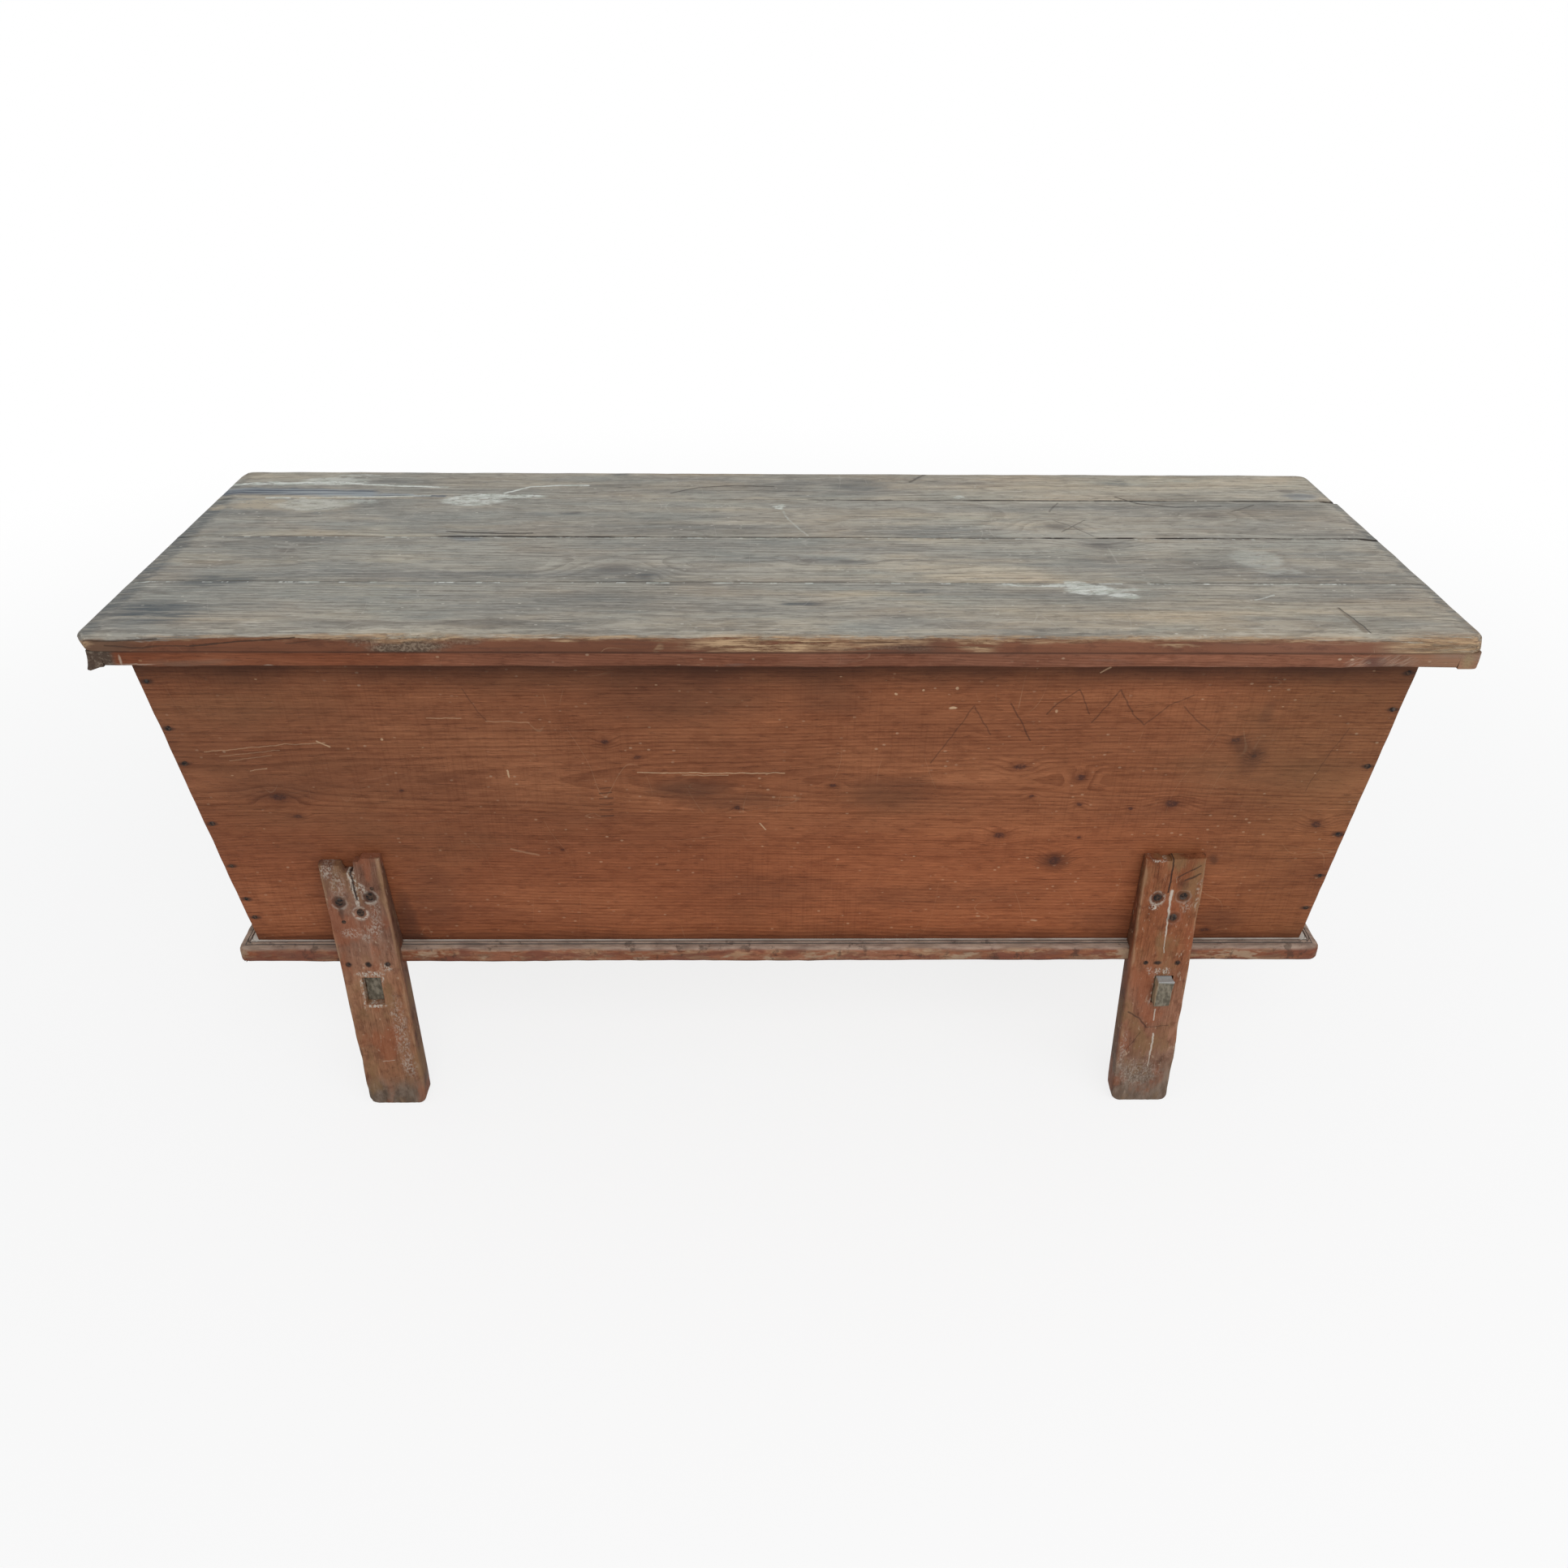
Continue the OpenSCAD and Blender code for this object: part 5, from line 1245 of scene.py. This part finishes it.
def leg(node, side, back, material, top_moves=()):
    """One leg. top_moves shifts parts of its top as (from, to, rise), measured from its middle."""
    x, rail = LEG_X[side], RAIL_X[side]
    flip = 1 if back else -1
    rise, slit = FLOOR_Z + ABOVE, 0.00025
    ys = sorted((flip * FACE_Y, flip * (FACE_Y - THICK)))
    piece = block("worn_" + node, (x - TOP_HALF, ys[0], 0), (x + TOP_HALF, ys[1], rise))
    slice_at(2, (UNDER_Z, UNDER_Z + slit, FLOOR_Z - slit, FLOOR_Z))

    def shift_back(z, to):
        start = FACE_Y - THICK + (FLOOR_Z - z) * SPLAY
        choose("verts", lambda v, c: abs(c.z - z) < slit / 3 and abs(c.y) < start + 0.001)
        bpy.ops.transform.translate(value=(0, flip * (to - start), 0))

    for z in (0, UNDER_Z, UNDER_Z + slit, FLOOR_Z - slit, FLOOR_Z, rise):
        choose("verts", lambda v, c: abs(c.z - z) < slit / 3)
        bpy.ops.transform.translate(value=(0, flip * (FLOOR_Z - z) * SPLAY, 0))
        half = FOOT_HALF + (TOP_HALF - FOOT_HALF) * z / rise
        bpy.ops.transform.resize(value=(half / TOP_HALF, 1, 1), center_override=(x, 0, 0))
    # The notch for the lip, and the bevelled back that lies on the wall above it
    for z, to in ((UNDER_Z + slit, LIP_Y), (FLOOR_Z - slit, LIP_Y), (FLOOR_Z, WALL_Y),
            (rise, WALL_Y + ABOVE * WALL_TAN)):
        shift_back(z, to + AIR)
    bevel(0.012, 6, lambda e, c: runs(e, 1) and c.z < 1e-4)
    hole = [rail - HOLE[0], rail + HOLE[0], TENON_Z - HOLE[1], TENON_Z + HOLE[1]]
    slice_at(0, [x - 0.033 + 0.003 * i for i in range(23)] + hole[:2])
    for start, stop, up in top_moves:
        choose("verts", lambda v, c: c.z > rise - 0.001 and start <= c.x - x <= stop)
        bpy.ops.transform.translate(value=(0, 0, up))
    slice_at(2, [0.02 + 0.006 * i for i in range(25)] + hole[2:] + [0.24] + [0.258 + 0.006 * i for i in range(23)])
    slice_at(1, (flip * 0.2145, flip * 0.2195))

    def outer_edge(e, c):
        """An edge of the front or the back, upright or at the foot, and clear of the notch."""
        upright = any(abs(f.normal.x) > 0.7 or f.normal.z < -0.3 and c.z < 0.02 for f in e.link_faces)
        facing = any(abs(f.normal.y) > 0.7 for f in e.link_faces)
        return upright and facing and (abs(c.z - (UNDER_Z + FLOOR_Z) / 2) > 0.0115 or abs(c.y) > 0.22)

    bevel(0.0025, 2, outer_edge)
    choose("faces", lambda f, c: abs(f.normal.y) > 0.7 and hole[0] < c.x < hole[1] and hole[2] < c.z < hole[3])
    bpy.ops.mesh.bridge_edge_loops()
    bpy.ops.object.mode_set(mode="OBJECT")

    def clear(p):
        return not (hole[0] - 1e-4 < p.x < hole[1] + 1e-4 and hole[2] - 1e-4 < p.z < hole[3] + 1e-4)

    # Lean the leg, all but its mortise, from a top that is moved to its place first
    pivot = rise + 0.01
    push(piece, "lean", "X", LEAN * pivot, lambda p: (pivot - (p.z if clear(p) else TENON_Z)) / pivot)
    bpy.ops.object.mode_set(mode="EDIT")
    bpy.ops.mesh.select_all(action="SELECT")
    bpy.ops.transform.translate(value=(-LEAN * (pivot - TENON_Z), 0, 0))
    bpy.ops.object.mode_set(mode="OBJECT")

    def arris(p):
        side_gap = max(FOOT_HALF + p.z * (TOP_HALF - FOOT_HALF) / rise - abs(p.x + (p.z - TENON_Z) * LEAN - x), 0)
        face_gap = max(FACE_Y + (FLOOR_Z - p.z) * SPLAY - abs(p.y), 0)
        return falloff(side_gap + face_gap, 0.009) * clear(p)

    def foot(p):
        return falloff(p.z, 0.045) * (p.z > 0.004)

    rub(piece, "arris", arris, 0.005, 0.022, 0.38, grain=(1, 1, 1.8))
    rub(piece, "foot", foot, 0.004, 0.02, 0.42)
    rub(piece, "grain", lambda p: 0.6 * clear(p) * (abs(p.y) > FACE_Y - 0.008), 0.0012, 0.007, 0.5,
        grain=(0.7, 0.7, 5))
    done(piece, material, "leg_wood", "trough", node)
    return piece


left_leg_pine = stained("left_leg_pine", LEG_TONES, leg_marks("left", cracks=[
    ([(-0.529, 0.392), (-0.527, 0.36), (-0.5255, 0.336)], 0.0018, 0.9),
    ([(-0.56, 0.105), (-0.556, 0.085)], 0.001, 0.6), ([(-0.527, 0.374), (-0.53, 0.35)], 0.001, 0.6)], paint=[
    (-0.527, 0.365, 0.005, 0.024, 0.9), (-0.519, 0.352, 0.008, 0.008, 0.7), (-0.526, 0.335, 0.003, 0.012, 0.9),
    (-0.54, 0.285, 0.014, 0.007, 0.4), (-0.511, 0.29, 0.01, 0.01, 0.45), (-0.52, 0.28, 0.008, 0.008, 0.4),
    (-0.5, 0.13, 0.008, 0.05, 0.4), (-0.497, 0.07, 0.01, 0.02, 0.5), (-0.545, 0.355, 0.008, 0.02, 0.35),
    (-0.526, 0.2205, 0.017, 0.0045, 1), (-0.506, 0.231, 0.006, 0.006, 0.7), (-0.5395, 0.192, 0.002, 0.026, 0.9),
    (-0.527, 0.1685, 0.015, 0.0025, 1), (-0.5125, 0.212, 0.003, 0.006, 0.9), (-0.503, 0.157, 0.008, 0.004, 0.5),
    (-0.548, 0.391, 0.02, 0.0035, 1), (-0.556, 0.377, 0.008, 0.009, 0.6), (-0.505, 0.31, 0.006, 0.03, 0.35),
    (-0.553, 0.378, 0.004, 0.01, 0.5)], dark_spots=[
    (-0.547, 0.302, 0.0022, 0.0022, 0.9), (-0.505, 0.352, 0.0022, 0.0022, 0.85), (-0.548, 0.332, 0.0085, 0.0085, 0.7),
    (-0.509, 0.34, 0.0085, 0.0085, 0.7), (-0.548, 0.318, 0.003, 0.012, 0.45), (-0.551, 0.236, 0.004, 0.004, 0.9),
    (-0.526, 0.236, 0.004, 0.004, 0.9), (-0.502, 0.236, 0.004, 0.004, 0.9)], scars=[
    ([(-0.532, 0.39), (-0.5305, 0.365), (-0.527, 0.34)], 0.0012, 0.8),
    ([(-0.53, 0.075), (-0.515, 0.077)], 0.0006, 0.6)]), [(-0.53, 0.132, 0.003, 1.4)], pith=-0.55, depth=0.28,
    drift=0.03, spacing=0.0052, axes="ZXY", seed=1.7, line=0.5, waver=0.012)
right_leg_pine = stained("right_leg_pine", LEG_TONES, leg_marks("right", cracks=[
    ([(0.4775, 0.394), (0.4785, 0.37), (0.478, 0.345)], 0.0013, 0.9), ([(0.487, 0.367), (0.512, 0.384)], 0.001, 0.7),
    ([(0.496, 0.362), (0.514, 0.372)], 0.0016, 0.7), ([(0.455, 0.155), (0.47, 0.145), (0.482, 0.129)], 0.0015, 0.6),
    ([(0.482, 0.129), (0.51, 0.132)], 0.0011, 0.4), ([(0.475, 0.12), (0.46, 0.09)], 0.0009, 0.4)], paint=[
    (0.464, 0.323, 0.006, 0.004, 0.9), (0.505, 0.325, 0.008, 0.008, 0.35), (0.4825, 0.2225, 0.0042, 0.0055, 0.9),
    (0.4945, 0.2225, 0.0052, 0.0055, 0.95), (0.474, 0.222, 0.004, 0.006, 0.5), (0.456, 0.09, 0.004, 0.03, 0.4),
    (0.462, 0.392, 0.01, 0.002, 0.7), (0.516, 0.34, 0.003, 0.02, 0.4), (0.48, 0.05, 0.03, 0.02, 0.3),
    (0.482, 0.192, 0.0025, 0.022, 0.6)], dark_spots=[
    (0.466, 0.337, 0.0085, 0.0085, 0.6), (0.498, 0.339, 0.0085, 0.0085, 0.6), (0.49, 0.307, 0.008, 0.008, 0.6),
    (0.466, 0.236, 0.003, 0.003, 0.9), (0.481, 0.236, 0.005, 0.003, 0.9), (0.507, 0.236, 0.004, 0.004, 0.9),
    (0.495, 0.355, 0.008, 0.007, 0.35)], scars=[
    ([(0.4822, 0.347), (0.4825, 0.333)], 0.0026, 0.9), ([(0.4825, 0.333), (0.4838, 0.305)], 0.0019, 0.9),
    ([(0.4838, 0.305), (0.4848, 0.278)], 0.0013, 0.85), ([(0.4848, 0.278), (0.4862, 0.252)], 0.0009, 0.7),
    ([(0.489, 0.16), (0.49, 0.141)], 0.0011, 0.75),
    ([(0.4928, 0.118), (0.4938, 0.098), (0.4935, 0.082)], 0.0016, 0.85),
    ([(0.4935, 0.082), (0.4938, 0.062)], 0.001, 0.7)]), [(0.48, 0.06, 0.003, 1.4)], pith=0.49, depth=0.25,
    drift=-0.02, spacing=0.0048, axes="ZXY", seed=6.1, line=0.5, waver=0.01)
leg("front_left_leg", "left", False, left_leg_pine, [
    (-0.0385, -0.012, -0.008), (-0.0125, 0.0035, -0.019), (0.004, 0.0125, -0.003), (0.013, 0.0385, 0.002),
    (-0.03, -0.018, -0.002)])
leg("front_right_leg", "right", False, right_leg_pine, [(-0.018, -0.006, -0.003), (0.02, 0.039, 0.0006)])
leg("back_left_leg", "left", True, left_leg_pine)
leg("back_right_leg", "right", True, right_leg_pine)


# The two rails tie each front leg to the back leg behind it, with a tenon through each. The left one has
# shrunk back into its mortise, and the right one stands out in front, its end worn round and grey.
def rail_marks(place, colour, rough, height):
    """Grey-green end grain with a trace of white paint, on the ends that show."""
    x, y, z = parts(place)
    out = fade(absolute(y), 0.2, 0.215)
    grain = mix(fade(noise(place, (220, 60, 120), 4), 0.35, 0.65), (0.1, 0.085, 0.062), (0.23, 0.2, 0.15))
    colour = mix(out, colour, grain)
    top = times(out, fade(z, 0.2095, 0.2135))
    colour = mix(top, colour, (0.36, 0.36, 0.35))
    tan = times(out, fade(x, 0.4845, 0.4825))
    tan = times(tan, fade(x, 0.0, 0.1))
    colour = mix(times(tan, 0.8), colour, (0.36, 0.25, 0.15))
    return colour, plus(rough, 0.1), height


rail_pine = stained("rail_pine", LEG_TONES, rail_marks, axes="YXZ", pith=0.1, depth=0.05, seed=3.3)
for side, node in (("left", "left_cross_rail"), ("right", "right_cross_rail")):
    low, high = node_box[node]
    x = RAIL_X[side]
    half, mid_z = FACE_Y - THICK + (FLOOR_Z - 0.198) * SPLAY, UNDER_Z - RAIL[1] / 2
    rail = block("worn_" + node, (x - RAIL[0] / 2, -half, UNDER_Z - RAIL[1]), (x + RAIL[0] / 2, half, UNDER_Z))
    divide(1, 40)
    for end, reach in ((-half, low.y), (half, high.y)):
        choose("faces", lambda f, c: abs(c.y - end) < 1e-4 and abs(f.normal.y) > 0.9)
        bpy.ops.mesh.extrude_region_move()
        bpy.ops.transform.resize(value=(TENON[0] / RAIL[0], 1, TENON[1] / RAIL[1]), center_override=(x, end, mid_z))
        bpy.ops.transform.translate(value=(0, 0, TENON_Z - mid_z))
        for i in range(8):
            extrude((0, (reach - end) / 8, 0))
    bevel(0.0022, 3, lambda e, c: (
        runs(e, 1) and abs(c.y) > half
        or abs(c.y) > half + 0.0005 and any(abs(c.y - end) < 1e-4 for end in (low.y, high.y))))
    divide(2, 4)
    bpy.ops.object.mode_set(mode="OBJECT")
    rub(rail, "end", lambda p: max(0, (abs(p.y) - half - 0.016) / 0.014), 0.005, 0.01, 0.12)
    done(rail, rail_pine, "leg_wood", "trough", node)


# The nails: forged by hand, with low faceted heads gone black. Big ones hold the legs to the walls, and
# small ones the corners and the lip's edge.
iron, shader, place = new_material("old_iron")
rust_and_highlight = mix(fade(noise(place, (300, 300, 300), 4), 0.4, 0.65), (0.02, 0.016, 0.015), (0.085, 0.05, 0.034))
# Pale grey patches on the iron, partly painted highlights.
rust_and_highlight = mix(fade(noise(place, (140, 140, 140), 3), 0.56, 0.66, 0, 0.3), rust_and_highlight, (0.12, 0.115, 0.11))
shader.inputs["Specular IOR Level"].default_value = 0.08
lay(shader, rust_and_highlight, fade(noise(place, (200, 200, 200), 3), 0.3, 0.7, 0.7, 0.9), noise(place, (500, 500, 500), 3),
    0.0004)


def forged(name, head, shank, long, tall):
    """A nail with its head at the origin, facing +Z: a faceted shank drawn out to a low rose head."""
    bpy.ops.object.select_all(action="DESELECT")
    bpy.ops.mesh.primitive_cylinder_add(vertices=10, radius=shank, depth=long, location=(0, 0, -long / 2 - 0.001))
    nail = bpy.context.active_object
    nail.name = name
    bpy.ops.object.transform_apply(location=True, rotation=True, scale=True)
    bpy.ops.object.mode_set(mode="EDIT")
    choose("faces", lambda f, c: c.z > -0.0011)
    extrude((0, 0, 0.0004))
    bpy.ops.transform.resize(value=(head / shank, head / shank, 1), center_override=(0, 0, 0))
    for share, up in ((1.0, 0.45), (0.78, 0.35), (0.36, 0.2)):
        extrude((0, 0, (tall + 0.0006) * up))
        if share < 1:
            bpy.ops.transform.resize(value=(share, share, 1), center_override=(0, 0, 0))
    bpy.ops.object.mode_set(mode="OBJECT")
    return nail


def drive(name, pattern, places, body, *nodes):
    """Copies of a nail at places given as (point, direction of the head, turn), joined to one piece."""
    copies = []
    for i, (point, way, turn) in enumerate(places):
        copy = pattern.copy()
        copy.data = pattern.data.copy()
        bpy.context.scene.collection.objects.link(copy)
        squash = Matrix.Diagonal((1 + 0.12 * math.sin(2.3 * i), 1 - 0.1 * math.sin(1.7 * i + 1), 1, 1))
        aim = Vector(way).to_track_quat("Z", "Y").to_matrix().to_4x4()
        copy.data.transform(Matrix.Translation(point) @ aim @ Matrix.Rotation(turn, 4, "Z") @ squash)
        copies.append(copy)
    bpy.ops.object.select_all(action="DESELECT")
    for copy in copies:
        copy.select_set(True)
    bpy.context.view_layer.objects.active = copies[0]
    bpy.ops.object.join()
    piece = copies[0]
    piece.name = piece.data.name = name
    done(piece, iron, "iron", body, *nodes)


big = forged("big_nail", 0.0056, 0.0024, 0.03, 0.0016)
small = forged("small_nail", 0.0027, 0.0012, 0.025, 0.0005)
corner = forged("corner_nail", 0.0035, 0.0016, 0.03, 0.0005)
for node, flip in (("front_leg_nails", -1), ("back_leg_nails", 1)):
    drive("forged_" + node, big, [
        ((LEG_X[side] + dx, flip * (FACE_Y - dz * SPLAY - 0.0006), FLOOR_Z + dz), (0, flip, 0), dx * 90)
        for side in ("left", "right") for dx, dz in BIG_NAILS[side]], "trough", node)
drive("forged_leg_brads", small, [
    ((LEG_X[side] + dx, flip * (FACE_Y + 0.0143 * SPLAY), BRAD_Z), (0, flip, 0), dx * 50)
    for side in ("left", "right") for dx in SMALL_NAILS[side] for flip in (-1, 1)] + [
    ((-0.547, -FACE_Y + 0.052 * SPLAY, 0.302), (0, -1, 0), 0.3),
    ((-0.505, -FACE_Y + 0.102 * SPLAY, 0.352), (0, -1, 0), 0.9)], "trough", "leg_brads")
for node, flip in (("front_corner_nails", -1), ("back_corner_nails", 1)):
    drive("forged_" + node, corner, [
        ((x, flip * (RIM_Y - (RIM_Z - z) * WALL_TAN), z), (0, flip, -WALL_TAN), z * 40) for x, z in CORNER_NAILS],
        "trough", node)
for pattern in (big, small, corner):
    bpy.data.objects.remove(pattern)
for name in ("lid_strip_nails", "lid_batten_nails", "bottom_nails"):
    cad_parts[name].data.materials.clear()
    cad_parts[name].data.materials.append(iron)


# The stage: a white floor that keeps the soft shadow, a white world, and plain studio light.
def shown():
    """1 for the rays that show a thing to the camera, straight or by way of gloss or glass."""
    rays = put("LightPath").outputs
    return most(rays["Is Camera Ray"], most(rays["Is Glossy Ray"], rays["Is Transmission Ray"]))


bpy.ops.object.select_all(action="DESELECT")
bpy.ops.mesh.primitive_plane_add(size=60, location=(0, 0, 0))
floor = bpy.context.active_object
floor.name = "floor"
white, shader, place = new_material("white_floor")
shader.inputs["Base Color"].default_value = (0.85, 0.85, 0.85, 1)
shader.inputs["Roughness"].default_value = 1.0
shader.inputs["Specular IOR Level"].default_value = 0.0
glow = put("Emission", (1, 1, 1, 1), 1.0).outputs[0]
far = fade(vector_node("LENGTH", place), 1.0, 3.2, 0.8, 1)
dim = put("MixShader", times(shown(), far), shader.outputs[0], glow).outputs[0]
tree.links.new(dim, tree.nodes["Material Output"].inputs["Surface"])
floor.data.materials.append(white)

world = bpy.data.worlds.new("studio") if bpy.context.scene.world is None else bpy.context.scene.world
bpy.context.scene.world = world
world.use_nodes = True
tree = world.node_tree
tree.nodes.clear()
seen = shown()
sky = put("Background", (0.97, 0.985, 1.0, 1), 0.62).outputs[0]
paper = put("Background", (1, 1, 1, 1), 1.0).outputs[0]
both = put("MixShader", seen, sky, paper).outputs[0]
tree.links.new(both, put("OutputWorld").inputs[0])


def lamp(name, place, aim, size, power):
    """A rectangular studio lamp that faces a point."""
    light = bpy.data.lights.new(name, "AREA")
    light.shape, light.size, light.size_y, light.energy = "RECTANGLE", size[0], size[1], power
    holder = bpy.data.objects.new(name, light)
    bpy.context.scene.collection.objects.link(holder)
    holder.location = place
    holder.rotation_euler = (Vector(aim) - Vector(place)).to_track_quat("-Z", "Y").to_euler()


lamp("key", (0.3, -3.2, 3.6), (0, 0, 0.4), (2.6, 1.6), 60)
lamp("fill", (2.6, -2.8, 1.8), (0, 0, 0.4), (2, 2), 26)

# The camera stands at the photographer's eye, a little left of the middle, looking down on the lid.
SENSOR, FOCAL = 36, 1621.65 / 1932
PITCH, YAW, ROLL = math.radians(31.28), math.radians(1.11), math.radians(0.57)
EYE = Vector((-0.0261, -1.5451, 1.3046))
forward = Vector((math.sin(YAW) * math.cos(PITCH), math.cos(YAW) * math.cos(PITCH), -math.sin(PITCH)))
level = Vector((math.cos(YAW), -math.sin(YAW), 0))
drop = forward.cross(level)
right = level * math.cos(ROLL) - drop * math.sin(ROLL)
down = level * math.sin(ROLL) + drop * math.cos(ROLL)
lens = bpy.data.cameras.new("camera")
lens.lens, lens.sensor_width, lens.sensor_fit = FOCAL * SENSOR, SENSOR, "HORIZONTAL"
lens.clip_start = 0.05
camera = bpy.data.objects.new("camera", lens)
bpy.context.scene.collection.objects.link(camera)
turn = Matrix((right, -down, -forward)).transposed().to_4x4()
camera.matrix_world = Matrix.Translation(EYE) @ turn
bpy.context.scene.camera = camera
bpy.context.scene.view_settings.view_transform = "Standard"
